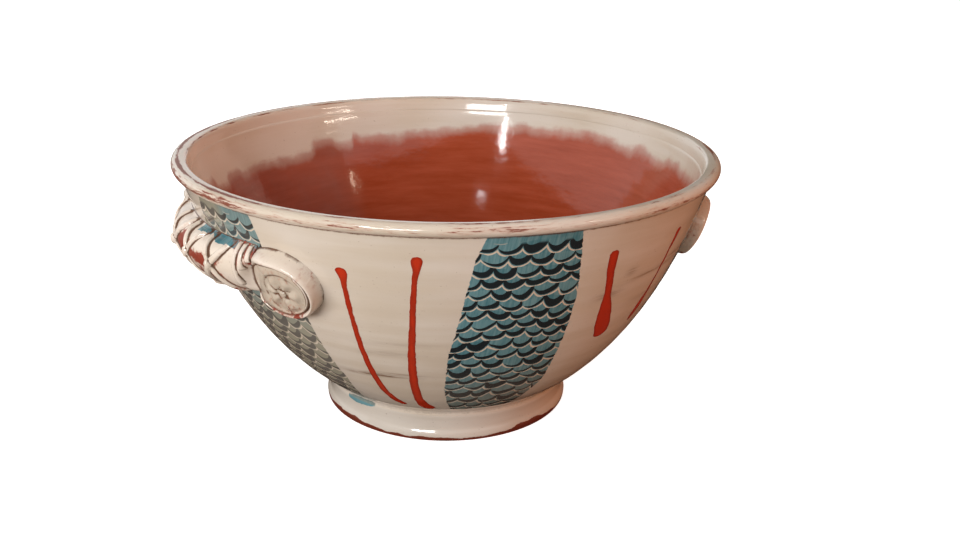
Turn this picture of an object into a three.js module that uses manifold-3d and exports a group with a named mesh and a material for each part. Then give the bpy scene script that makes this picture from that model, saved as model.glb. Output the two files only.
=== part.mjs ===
// A hand-thrown earthenware salad bowl: foot ring, open rounded wall, rolled rim and two lug handles.
// Each handle is a fat roll of clay on the wall, crossed by ribbons, bound at its necks, and ended by a
// scroll with a stamped pad in it.
// Millimetres, +Z up. The foot stands on Z = 0, and the handles lie on the X axis.
import * as THREE from "three";
import { mergeVertices } from "three/addons/utils/BufferGeometryUtils.js";
import Module from "manifold-3d";

// Thrown bowl
const RIM_RADIUS = 160; // to the outermost point of the rim roll
const BOWL_HEIGHT = 158; // from the table to the top of the rim roll
const LIP_THICKNESS = 5.6; // wall under the rim roll
const BELLY_THICKNESS = 8.5; // wall just above the foot
const FLOOR_THICKNESS = 9;
const WALL_LEAN_AT_FOOT = 54; // degrees from upright
const WALL_LEAN_AT_RIM = 19.5; // degrees from upright
const BELLY_FULLNESS = 0.46; // how far the lower wall keeps its lean, as a share of the wall's chord
const RIM_FULLNESS = 0.1; // how far the upper wall keeps its lean, as a share of the wall's chord
const WELL_FLATNESS = 0.5; // how far the floor runs level inside, as a share of the well's radius
const WELL_SWEEP = 0.7; // how far the wall's slope carries on down into the well, as a share of its depth

// Rim roll
const RIM_OVERHANG = 4; // beyond the wall, all round
const RIM_RISE = 6; // from the top of the wall to the top of the roll

// Foot ring
const FOOT_RADIUS = 75.7;
const FOOT_HEIGHT = 16;
const FOOT_WIDTH = 11; // across the ring at its top
const FOOT_WAIST = 1; // how far the ring draws in below the wall
const FOOT_TAPER = 1.6; // how much narrower the ring is inside, down at its tread
const FOOT_EDGE = 1.2; // rounding of the edges that meet the table
const FOOT_RECESS = 9.5; // from the table up to the underside of the floor
const FOOT_FILLET = 2.6; // hollow where the wall springs from the foot

// Handles
const HANDLE_DROP = 42; // down the wall, from its top to the middle line of the handle
const RIGHT_HANDLE_ASKEW = -4; // degrees: the right handle is set by eye, not quite opposite the left
const ROLL_HEIGHT = 31; // up and down the wall, at the middle of the handle
const ROLL_PROUD = 15.5; // out from the wall, at the middle of the handle
const ROLL_CENTRE = 4.5; // above the middle line
const ROLL_LIFT = 5; // how far the crest of the roll rides above its centre
const NECK_START = 44; // from the middle of the handle to the start of the neck
const NECK_HEIGHT = 28;
const NECK_PROUD = 10.5;
const NECK_CENTRE = 7; // above the middle line
const NECK_SUDDENNESS = 4; // the higher, the longer the roll stays fat

// Ribbons that cross the roll
const RIBBON_WIDTH = 4;
const RIBBON_THICKNESS = 1.6;
const RIBBON_PITCH = 22;
const UNDER_RIBBONS = 3;
const UNDER_MIDDLE = 6; // from the middle of the handle to the middle of the under ribbons
const UNDER_TRAVEL = 25; // how far an under ribbon goes along the roll while it crosses it
const OVER_RIBBONS = 4;
const OVER_MIDDLE = -1;
const OVER_TRAVEL = -14; // the over ribbons go the other way, and steeper
const STRAP_START = 2.3; // degrees round the roll between a strap's end and the wall
const STEP_UP_FROM = 2.4; // an over ribbon starts to rise this many widths before an under ribbon
const STEP_UP_UNTIL = 1.2; // and has cleared it this many widths before

// Bindings round the necks
const BINDING_WIDTH = 3.1;
const BINDING_THICKNESS = 1.6;
const BINDING_PITCH = 4.1;
const BINDINGS_PER_NECK = 3;

// Scroll ends
const SCROLL_START = 1.5; // from the start of the neck to the nearest point of the scroll
const SCROLL_CENTRE = 3; // above the middle line
const SCROLL_LENGTH = 45.5;
const SCROLL_HEIGHT = 39;
const SCROLL_PROUD = 11;
const COIL_WIDTH = 8.5; // where the scroll leaves the neck
const COIL_TAIL = 0.42; // the tail's width, as a share of the start's
const COIL_START = 132; // degrees, where the scroll leaves the neck
const COIL_TURN = 286; // degrees that the coil goes round; the pad fills the rest of the outline
const OPENING_MARGIN = 4; // degrees between each end of the coil and the pad's bare edge

// Stamped pads
const PAD_PROUD = 8.5;
const PAD_RELIEF = 1.9;
const PAD_SHOULDER = 0.6; // height at which the pad's edge starts to round over, as a share of its height
const PAD_PETALS = 6;

// Pieces are kept apart by the thickness of the slip that joins them.
const SLIP = 0.3;

const GLAZED_CREAM = { color: 0xd3c0ab, roughness: 0.28, metalness: 0 };
const WORN_RIM = { color: 0xc79d86, roughness: 0.34, metalness: 0 };
const STAMPED_CREAM = { color: 0xcdb5a2, roughness: 0.34, metalness: 0 };

const { clamp, degToRad, lerp, smoothstep } = THREE.MathUtils;

// Profiles are drawn in the half plane of radius (x) and height (y).
function alongLean(degrees, length) {
  return new THREE.Vector2(Math.sin(degToRad(degrees)), Math.cos(degToRad(degrees))).multiplyScalar(length);
}

const shoulder = new THREE.Vector2(FOOT_RADIUS - FOOT_WAIST, FOOT_HEIGHT + SLIP);
const filletCorner = new THREE.Vector2(shoulder.x, shoulder.y + FOOT_FILLET);
const wallStart = filletCorner.clone().add(alongLean(WALL_LEAN_AT_FOOT, FOOT_FILLET));
const wallTop = new THREE.Vector2(RIM_RADIUS - RIM_OVERHANG, BOWL_HEIGHT - RIM_RISE);
const wallChord = wallStart.distanceTo(wallTop);
const outerWall = new THREE.CubicBezierCurve(
  wallStart,
  wallStart.clone().add(alongLean(WALL_LEAN_AT_FOOT, BELLY_FULLNESS * wallChord)),
  wallTop.clone().sub(alongLean(WALL_LEAN_AT_RIM, RIM_FULLNESS * wallChord)),
  wallTop,
);
const wallLength = outerWall.getLength();

// A point at a share of the way up the outer wall, moved out from its face.
function besideWall(share, out) {
  const point = outerWall.getPointAt(clamp(share, 0, 1));
  const run = outerWall.getTangentAt(clamp(share, 0, 1));
  return new THREE.Vector2(point.x + run.y * out, point.y - run.x * out);
}

function revolve(profile) {
  const roundSteps = 64;
  return new THREE.LatheGeometry(profile, roundSteps).rotateX(Math.PI / 2);
}

// The thrown bowl: a spigot that the foot ring fits round, shoulder, outer wall, lip, inner wall, floor.
function bowlBody() {
  const wallSteps = 10;
  const spigot = shoulder.x - FOOT_WIDTH - SLIP;
  const floor = FOOT_RECESS + FLOOR_THICKNESS;
  const fillet = new THREE.QuadraticBezierCurve(shoulder, filletCorner, wallStart);
  const inside = [new THREE.Vector2(wallTop.x - LIP_THICKNESS, wallTop.y)];
  for (let i = wallSteps - 1; i > 1; i--) {
    const share = i / wallSteps;
    inside.push(besideWall(share, -lerp(BELLY_THICKNESS, LIP_THICKNESS, share)));
  }
  const wellEdge = inside.pop();
  const slope = wellEdge.clone().sub(inside.at(-1)).normalize();
  const well = new THREE.CubicBezierCurve(
    wellEdge,
    wellEdge.clone().addScaledVector(slope, (WELL_SWEEP * (floor - wellEdge.y)) / slope.y),
    new THREE.Vector2(wellEdge.x * WELL_FLATNESS, floor),
    new THREE.Vector2(0, floor),
  );
  return revolve([
    new THREE.Vector2(0, FOOT_RECESS),
    new THREE.Vector2(spigot, FOOT_RECESS),
    new THREE.Vector2(spigot, shoulder.y),
    ...fillet.getPoints(2).slice(0, -1),
    ...outerWall.getSpacedPoints(wallSteps),
    ...inside,
    ...well.getPoints(5),
  ]);
}

// The ring that the bowl stands on: a hollow outer side, and rounded edges on each side of a flat tread.
function footRing() {
  const inner = shoulder.x - FOOT_WIDTH;
  const tread = inner + FOOT_TAPER;
  const ring = new THREE.Path();
  ring.moveTo(tread + FOOT_EDGE, 0);
  ring.lineTo(FOOT_RADIUS - FOOT_EDGE, 0);
  ring.quadraticCurveTo(FOOT_RADIUS, 0, FOOT_RADIUS, FOOT_EDGE);
  ring.quadraticCurveTo(shoulder.x, FOOT_HEIGHT / 2, shoulder.x, FOOT_HEIGHT);
  ring.lineTo(inner, FOOT_HEIGHT);
  ring.lineTo(inner, FOOT_RECESS);
  ring.lineTo(tread, FOOT_EDGE);
  ring.quadraticCurveTo(tread, 0, tread + FOOT_EDGE, 0);
  return revolve(ring.getPoints(2));
}

// The roll of clay round the lip: flat where it lies on the wall, undercut outside, round on top.
function rimRoll() {
  const seat = wallTop.y + SLIP;
  const inner = wallTop.x - LIP_THICKNESS;
  const crown = (inner + RIM_RADIUS) / 2;
  const bulge = (seat + BOWL_HEIGHT) / 2;
  const roll = new THREE.Path();
  roll.moveTo(inner, seat);
  roll.lineTo(wallTop.x, seat);
  roll.quadraticCurveTo(RIM_RADIUS, seat, RIM_RADIUS, bulge);
  roll.quadraticCurveTo(RIM_RADIUS, BOWL_HEIGHT, crown, BOWL_HEIGHT);
  roll.quadraticCurveTo(inner, BOWL_HEIGHT, inner, seat);
  return revolve(roll.getPoints(3));
}

// Handle pieces are modelled flat: x along the handle, y up the wall and z out from the wall.
// This carries them onto the round of the wall, with the middle of the handle on the X axis.
const handleRadius = besideWall(1 - HANDLE_DROP / wallLength, 0).x;

function bendOnWall(geometry) {
  const position = geometry.getAttribute("position");
  for (let i = 0; i < position.count; i++) {
    const share = 1 + (position.getY(i) - HANDLE_DROP) / wallLength;
    const place = besideWall(share, position.getZ(i));
    const angle = position.getX(i) / handleRadius;
    position.setXYZ(i, place.x * Math.cos(angle), place.x * Math.sin(angle), place.y);
  }
  geometry.computeVertexNormals();
  return geometry;
}

// A closed solid skinned over a row of rings, with a fan over the first ring and over the last.
function loft(rings) {
  const size = rings[0].length;
  const points = rings.flat();
  const faces = [];
  for (let row = 0; row + 1 < rings.length; row++) {
    for (let i = 0; i < size; i++) {
      const a = row * size + i;
      const b = row * size + ((i + 1) % size);
      faces.push(a, b, a + size, b, b + size, a + size);
    }
  }
  for (const last of [false, true]) {
    const ring = last ? rings.at(-1) : rings[0];
    const first = last ? (rings.length - 1) * size : 0;
    const hub = points.length;
    points.push(ring.reduce((sum, p) => sum.add(p), new THREE.Vector3()).divideScalar(size));
    for (let i = 0; i < size; i++) {
      const pair = [first + i, first + ((i + 1) % size)];
      faces.push(...(last ? pair : pair.reverse()), hub);
    }
  }
  return facingOut(new THREE.BufferGeometry().setFromPoints(points).setIndex(faces));
}

// Turns the faces round where they enclose a negative volume.
function facingOut(geometry) {
  const faces = Array.from(geometry.index.array);
  const position = geometry.getAttribute("position");
  const corner = (k) => new THREE.Vector3().fromBufferAttribute(position, faces[k]);
  let volume = 0;
  for (let k = 0; k < faces.length; k += 3) {
    volume += corner(k).dot(corner(k + 1).cross(corner(k + 2)));
  }
  return volume < 0 ? geometry.setIndex(faces.reverse()) : geometry;
}

const wasm = await Module();
wasm.setup();

function toSolid(geometry) {
  const merged = mergeVertices(geometry);
  return new wasm.Manifold(
    new wasm.Mesh({
      numProp: 3,
      vertProperties: merged.getAttribute("position").array,
      triVerts: new Uint32Array(merged.index.array),
    }),
  );
}

function fromSolid(solid) {
  const { vertProperties, triVerts } = solid.getMesh();
  return new THREE.BufferGeometry()
    .setAttribute("position", new THREE.BufferAttribute(vertProperties, 3))
    .setIndex(new THREE.BufferAttribute(triVerts, 1));
}

const scrollMiddle = NECK_START + SCROLL_START + SCROLL_LENGTH / 2;

// Carries a piece that was modelled at the +X end of the handle to the given end, 1 or -1.
function atEnd(geometry, end) {
  return facingOut(geometry.scale(end, 1, 1));
}

// The roll's height and its distance from the wall, at a distance along the handle.
function rollSection(along) {
  const draw = Math.min(Math.abs(along) / NECK_START, 1) ** NECK_SUDDENNESS;
  return {
    centre: lerp(ROLL_CENTRE, NECK_CENTRE, draw),
    half: lerp(ROLL_HEIGHT, NECK_HEIGHT, draw) / 2,
    proud: lerp(ROLL_PROUD, NECK_PROUD, draw),
    lift: lerp(ROLL_LIFT, 0, draw),
  };
}

// A point on the roll's face. The turn is 0 at the lower joint with the wall and pi at the upper one.
function onRoll(along, turn) {
  const { centre, half, proud, lift } = rollSection(along);
  const up = centre - half * Math.cos(turn) + lift * Math.sin(turn);
  return new THREE.Vector3(along, up, SLIP + proud * Math.sin(turn));
}

function rollOutward(along, turn) {
  const step = 0.01;
  const lengthwise = onRoll(along + step, turn).sub(onRoll(along - step, turn));
  const round = onRoll(along, turn + step).sub(onRoll(along, turn - step));
  return lengthwise.cross(round).normalize();
}

// A point on the oval that bounds a scroll, drawn in by a distance. The angle is in degrees.
function onScroll(angle, inset, out) {
  const x = (SCROLL_LENGTH / 2 - inset) * Math.cos(degToRad(angle));
  const y = (SCROLL_HEIGHT / 2 - inset) * Math.sin(degToRad(angle));
  return new THREE.Vector3(scrollMiddle + x, SCROLL_CENTRE + y, out);
}

// The fat roll. Its necks are cut to the outline of the scrolls that they run up to.
function handleRoll() {
  const steps = 26;
  const faceSteps = 10;
  const backSteps = 4;
  const reach = scrollMiddle - SCROLL_LENGTH / 4; // well inside the scroll, which then cuts it off
  const rings = [];
  for (let i = 0; i <= steps; i++) {
    const along = lerp(-reach, reach, i / steps);
    const ring = [];
    for (let k = 0; k <= faceSteps; k++) {
      ring.push(onRoll(along, (Math.PI * k) / faceSteps));
    }
    for (let k = 1; k < backSteps; k++) {
      ring.push(ring[faceSteps].clone().lerp(ring[0], k / backSteps));
    }
    rings.push(ring);
  }
  return cutByScrolls(loft(rings));
}

// Cuts a piece to the outline of the scrolls, with room for the slip, and keeps its largest body.
function cutByScrolls(geometry) {
  const outlineSteps = 24;
  const outline = angles(0, 360, outlineSteps).slice(1);
  let solid = toSolid(geometry);
  for (const end of [-1, 1]) {
    const rings = [-SCROLL_PROUD, 2 * NECK_PROUD].map((out) =>
      outline.map((angle) => onScroll(angle, -SLIP, out)),
    );
    solid = solid.subtract(toSolid(atEnd(loft(rings), end)));
  }
  const bodies = solid.decompose().sort((a, b) => b.volume() - a.volume());
  return fromSolid(bodies[0]);
}

// How far along the roll a strap lies, at a share of its way from the lower joint to the upper one.
function strapPlace({ middle, travel }, share) {
  return middle + travel * (smoothstep(share, 0, 1) - 0.5);
}

// A strap over the roll from joint to joint, flat behind and rounded in front. It steps up over the
// straps that lie under it.
function strap(shape, under = []) {
  const { width, thickness } = shape;
  const steps = under.length ? 14 : 10;
  const ahead = 0.02; // share of the way over which the strap's run is measured
  const section = [[-1, 0], [-0.8, 0.7], [-0.35, 1], [0.35, 1], [0.8, 0.7], [1, 0]];
  const frameAt = (share) => {
    const along = strapPlace(shape, share);
    const turn = degToRad(lerp(STRAP_START, 180 - STRAP_START, share));
    const steppedUp = under.map((other) => {
      const apart = Math.abs(strapPlace(other, share) - along);
      const near = 1 - smoothstep(apart, STEP_UP_UNTIL * width, STEP_UP_FROM * width);
      return (other.thickness + SLIP) * near;
    });
    const outward = rollOutward(along, turn);
    const point = onRoll(along, turn).addScaledVector(outward, SLIP + Math.max(0, ...steppedUp));
    return { point, outward };
  };
  const rings = [];
  for (let i = 0; i <= steps; i++) {
    const share = i / steps;
    const { point, outward } = frameAt(share);
    const run = frameAt(Math.min(share + ahead, 1)).point.sub(frameAt(Math.max(share - ahead, 0)).point);
    const across = new THREE.Vector3().crossVectors(run, outward).normalize();
    const face = new THREE.Vector3().crossVectors(across, run).normalize();
    rings.push(
      section.map(([x, y]) =>
        point.clone().addScaledVector(across, (x * width) / 2).addScaledVector(face, y * thickness),
      ),
    );
  }
  return loft(rings);
}

// The coil of a scroll: it leaves the neck at its fattest, goes once round the pad and tapers as it goes.
function coilShare(angle) {
  return lerp(1, COIL_TAIL, (COIL_START - angle) / COIL_TURN);
}

function angles(from, to, steps) {
  return Array.from({ length: steps + 1 }, (_, i) => lerp(from, to, i / steps));
}

const coilAngles = angles(COIL_START, COIL_START - COIL_TURN, 26);

function scrollCoil() {
  const section = [[0, 0], [0.05, 0.6], [0.3, 0.95], [0.7, 0.95], [0.95, 0.6], [1, 0]];
  const rings = coilAngles.map((angle) => {
    const size = coilShare(angle);
    return section.map(([inset, out]) =>
      onScroll(angle, inset * COIL_WIDTH * size, SLIP + out * SCROLL_PROUD * Math.sqrt(size)),
    );
  });
  return loft(rings);
}

// The pad inside the scroll: a raised edge, a sunken floor, and a stamped rosette round a button.
function stampedPad() {
  const floor = PAD_PROUD - PAD_RELIEF;
  const levels = [
    { spread: 0.4, out: () => 0 },
    { spread: 1, out: () => 0 },
    { spread: 1, out: () => PAD_SHOULDER * PAD_PROUD },
    { spread: 0.9, out: () => PAD_PROUD },
    { spread: 0.76, out: () => floor },
    { spread: 0.6, out: (angle) => floor + petal(angle) },
    { spread: 0.34, out: (angle) => floor + petal(angle) },
    { spread: 0.22, out: () => floor },
    { spread: 0.14, out: () => floor + PAD_RELIEF },
  ];
  const middle = new THREE.Vector3(scrollMiddle, SCROLL_CENTRE, 0);
  const besideCoil = coilAngles.map((angle) => onScroll(angle, COIL_WIDTH * coilShare(angle) + SLIP, 0));
  const open = angles(coilAngles.at(-1) - OPENING_MARGIN, COIL_START - 360 + OPENING_MARGIN, 5);
  const outline = [...besideCoil, ...open.map((angle) => onScroll(angle, 0, 0))];
  const turns = [...coilAngles, ...open];
  const rings = levels.map(({ spread, out }) =>
    outline.map((edge, i) => middle.clone().lerp(edge, spread).setZ(SLIP + out(turns[i]))),
  );
  return loft(rings);
}

function petal(angle) {
  return PAD_RELIEF * Math.cos((degToRad(angle) * PAD_PETALS) / 2) ** 2;
}

// The shapes of the ribbons that cross the roll one way, evenly spaced about their middle.
function ribbons(count, middle, travel) {
  return Array.from({ length: count }, (_, i) => ({
    middle: middle + (i - (count - 1) / 2) * RIBBON_PITCH,
    travel,
    width: RIBBON_WIDTH,
    thickness: RIBBON_THICKNESS,
  }));
}

function piece(name, geometry, finish) {
  const mesh = new THREE.Mesh(geometry, new THREE.MeshStandardMaterial(finish));
  mesh.name = name;
  return mesh;
}

// One handle, on the +X side of the bowl until its group is turned.
function handle(side, frontEnd) {
  const group = new THREE.Group();
  const add = (name, geometry, finish = GLAZED_CREAM) =>
    group.add(piece(`${side}_${name}`, bendOnWall(geometry), finish));
  add("handle_roll", handleRoll());

  const under = ribbons(UNDER_RIBBONS, UNDER_MIDDLE, UNDER_TRAVEL);
  const over = ribbons(OVER_RIBBONS, OVER_MIDDLE, OVER_TRAVEL);
  under.forEach((shape, i) => add(`under_ribbon_${i + 1}`, strap(shape)));
  over.forEach((shape, i) => add(`over_ribbon_${i + 1}`, strap(shape, under)));

  for (const end of [-1, 1]) {
    const place = end === frontEnd ? "front" : "back";
    for (let i = 0; i < BINDINGS_PER_NECK; i++) {
      const middle = end * (NECK_START + (i + 0.5) * BINDING_PITCH);
      const shape = { middle, travel: 0, width: BINDING_WIDTH, thickness: BINDING_THICKNESS };
      add(`${place}_binding_${i + 1}`, cutByScrolls(strap(shape)));
    }
    add(`${place}_scroll`, atEnd(scrollCoil(), end));
    add(`${place}_pad`, atEnd(stampedPad(), end), STAMPED_CREAM);
  }
  return group;
}

const bowl = new THREE.Group();
bowl.add(piece("bowl_body", bowlBody(), GLAZED_CREAM));
bowl.add(piece("foot_ring", footRing(), GLAZED_CREAM));
bowl.add(piece("rim_roll", rimRoll(), WORN_RIM));
const rightHandle = handle("right", -1);
rightHandle.rotation.z = degToRad(RIGHT_HANDLE_ASKEW);
const leftHandle = handle("left", 1);
leftHandle.rotation.z = Math.PI;
bowl.add(rightHandle, leftHandle);

export default bowl;
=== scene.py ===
"""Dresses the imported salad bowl: a hand-thrown slipware bowl with two wrapped lug handles.

Shapes are worked out in millimetres on the same wall curve as the solids, and carried to metres at the end.
"""

import logging
import math
from collections.abc import Iterable, Sequence
from dataclasses import dataclass, field
from enum import Enum
from functools import cached_property

import bpy
import numpy as np
from mathutils import Matrix, Vector
from mathutils.bvhtree import BVHTree


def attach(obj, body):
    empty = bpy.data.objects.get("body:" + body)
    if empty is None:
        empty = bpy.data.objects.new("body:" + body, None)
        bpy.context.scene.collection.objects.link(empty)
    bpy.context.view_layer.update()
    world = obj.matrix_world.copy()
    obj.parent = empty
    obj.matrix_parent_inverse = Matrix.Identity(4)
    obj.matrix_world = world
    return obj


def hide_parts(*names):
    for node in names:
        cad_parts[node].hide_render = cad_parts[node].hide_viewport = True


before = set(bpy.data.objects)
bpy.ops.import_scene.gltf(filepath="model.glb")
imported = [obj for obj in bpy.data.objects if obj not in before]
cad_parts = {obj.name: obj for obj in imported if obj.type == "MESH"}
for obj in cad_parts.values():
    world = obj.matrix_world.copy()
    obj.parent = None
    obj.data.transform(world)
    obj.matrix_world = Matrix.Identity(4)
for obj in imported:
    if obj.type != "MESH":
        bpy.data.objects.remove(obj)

Array, Socket, Tree = np.ndarray, bpy.types.NodeSocket, bpy.types.NodeTree
LOG = logging.getLogger("salad_bowl")
MM = 0.001
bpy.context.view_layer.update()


# Small helpers


def ease(value: Array | float, low: float, high: float) -> Array:
    """Goes smoothly from 0 at low to 1 at high.

    Args:
        value: What is compared with the two limits.
        low: Where the ease starts.
        high: Where it ends.

    Returns:
        The eased share, of the value's own shape.
    """
    share = np.clip((np.asarray(value, float) - low) / (high - low), 0, 1)
    return share * share * (3 - 2 * share)


def wander(points: Array, size: float, seed: int) -> Array:
    """Adds up a few seeded waves into a soft unevenness, such as a hand leaves.

    Args:
        points: Places in millimetres, one row each.
        size: The shortest wave, in millimetres.
        seed: Picks the waves.

    Returns:
        One value per place, about -1 to 1.
    """
    maker = np.random.default_rng(seed)
    total = np.zeros(len(points))
    for _ in range(7):
        way = maker.normal(size=points.shape[1])
        way /= np.linalg.norm(way) * size * maker.uniform(1, 2.6)
        total += np.sin(2 * math.pi * (points @ way) + maker.uniform(0, 2 * math.pi))
    return total / 3.2


def bell(value: Array, middle: Array | float, reach: float) -> Array:
    """Stands at 1 where the value is the middle, and falls off to about a third at its reach."""
    return np.exp(-(((value - middle) / reach) ** 2))


def azimuth_of(points: Array) -> Array:
    """The degrees round the bowl at which points lie: 0 faces -Y, and 90 faces +X."""
    return np.degrees(np.arctan2(points[:, 0], -points[:, 1]))


def degrees_past(azimuth: Array, other: Array | float) -> Array:
    """How far an azimuth lies past another one, the short way round: -180 to 180."""
    return (azimuth - other + 180) % 360 - 180


def spline(points: Sequence[tuple[float, float]], steps: int) -> Array:
    """Runs a smooth curve through the given points.

    Args:
        points: Points in the plane.
        steps: How many steps between two of them.

    Returns:
        The curve's points, both ends included.
    """
    knots = np.array(points, float)
    knots = np.vstack([2 * knots[0] - knots[1], knots, 2 * knots[-1] - knots[-2]])
    rows = []
    for a, b, c, d in zip(knots, knots[1:], knots[2:], knots[3:]):
        square, cube = 2 * a - 5 * b + 4 * c - d, 3 * b - a - 3 * c + d
        for t in np.arange(steps) / steps:
            rows.append(0.5 * (2 * b + (c - a) * t + square * t**2 + cube * t**3))
    return np.array(rows + [knots[-2]])


def bezier(a: Array, b: Array, c: Array, d: Array, steps: int) -> Array:
    """Draws a cubic Bezier curve from a to d.

    Args:
        a: The first end.
        b: The handle of the first end.
        c: The handle of the last end.
        d: The last end.
        steps: How many steps it takes.

    Returns:
        The curve's points, both ends included.
    """
    t = np.linspace(0, 1, steps + 1)[:, None]
    return (1 - t) ** 3 * a + 3 * (1 - t) ** 2 * t * b + 3 * (1 - t) * t**2 * c + t**3 * d


@dataclass
class Skin:
    """A closed surface made of rings of points, in millimetres, with what is marked on each point.

    The first and last rings are closed by caps, or joined to each other when the skin is a hoop.
    """

    rings: Array
    marks: dict[str, Array] = field(default_factory=dict)
    hoop: bool = False

    @property
    def points(self) -> Array:
        """All points, one row each."""
        return self.rings.reshape(-1, 3)

    def faces(self) -> list[list[int]]:
        """Joins each ring with the next and closes both ends.

        Returns:
            The faces as rows of point numbers.
        """
        rows, size = self.rings.shape[:2]
        number = np.arange(rows * size).reshape(rows, size)
        after = np.roll(number, -1, axis=1)
        above = np.roll(number, -1, axis=0)
        quads = np.stack([number, after, np.roll(above, -1, axis=1), above], axis=2)
        if self.hoop:
            return quads.reshape(-1, 4).tolist()
        return [*quads[:-1].reshape(-1, 4).tolist(), number[0, ::-1].tolist(), number[-1].tolist()]


def build_piece(
    name: str, skin: Skin, nodes: Iterable[str], finish: bpy.types.Material
) -> bpy.types.Object:
    """Makes the object for a skin and puts it in the place of its solids.

    Args:
        name: The piece's name.
        skin: Its surface and marks.
        nodes: The solids that it stands for.
        finish: Its material.

    Returns:
        The piece.
    """
    mesh = bpy.data.meshes.new(name)
    mesh.from_pydata((skin.points * MM).tolist(), [], skin.faces())
    for mark, values in skin.marks.items():
        flat = values.reshape(len(mesh.vertices), -1)
        kind, key = ("FLOAT_VECTOR", "vector") if flat.shape[1] == 3 else ("FLOAT", "value")
        mesh.attributes.new(mark, kind, "POINT").data.foreach_set(key, flat.astype(np.float32).ravel())
    if signed_volume(mesh) < 0:
        mesh.flip_normals()
    mesh.shade_smooth()
    mesh.set_sharp_from_angle(angle=math.radians(50))
    mesh.materials.append(finish)
    mesh.validate()
    piece = bpy.data.objects.new(name, mesh)
    bpy.context.scene.collection.objects.link(piece)
    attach(piece, "root")
    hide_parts(*nodes)
    LOG.info("%s: %d faces, %s", name, len(mesh.polygons), finish.name)
    return piece


def signed_volume(mesh: bpy.types.Mesh) -> float:
    """Measures the volume that a mesh encloses.

    Args:
        mesh: A closed mesh.

    Returns:
        Its volume, below zero when the faces point inwards.
    """
    mesh.calc_loop_triangles()
    places = np.empty(len(mesh.vertices) * 3)
    mesh.vertices.foreach_get("co", places)
    corners = np.empty(len(mesh.loop_triangles) * 3, int)
    mesh.loop_triangles.foreach_get("vertices", corners)
    a, b, c = places.reshape(-1, 3)[corners.reshape(-1, 3)].transpose(1, 0, 2)
    return float(np.einsum("ij,ij->", a, np.cross(b, c))) / 6


# Decoration


@dataclass(frozen=True)
class Stroke:
    """A stripe of red slip: its places as (degrees, height, half width), from its top down."""

    places: tuple[tuple[float, float, float], ...]
    bluntness: float = 1.6  # how much shorter its round ends are than half circles

    def distance(self, azimuth: Array, radius: Array, height: Array) -> Array:
        """Measures points against the stripe's edge.

        Args:
            azimuth: Degrees round the bowl.
            radius: Distance from the bowl's axis.
            height: Height over the table.

        Returns:
            How far each point lies outside the edge, in millimetres.
        """
        degrees, heights, widths = np.array(self.places[::-1]).T
        middle = np.interp(height, heights, degrees)
        width = np.interp(height, heights, widths)
        across = np.abs(np.radians(degrees_past(azimuth, middle))) * radius
        beyond = np.maximum(heights[0] - height, 0) + np.maximum(height - heights[-1], 0)
        return np.hypot(across, self.bluntness * beyond) - width


def pair_of_strokes(turn: float, seed: int) -> list[Stroke]:
    """Two thin stripes between two bands, drawn with the same loaded slip trailer.

    Args:
        turn: Degrees round the bowl.
        seed: Picks how the hand wavered.

    Returns:
        The two stripes.
    """
    maker = np.random.default_rng(seed)
    made = []
    for start, end, top, foot in ((-33, -37, 128, 30), (-17, -19, 136, 32)):
        heights = np.linspace(top, foot, 7)
        degrees = turn + np.linspace(start, end, 7) + maker.normal(0, 0.35, 7)
        widths = np.array([2.6, 1.2, 1.1, 1.4, 1.6, 1.9, 2.2]) * maker.uniform(0.9, 1.3)
        made.append(Stroke(tuple(zip(degrees, heights, widths))))
    return made


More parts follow.
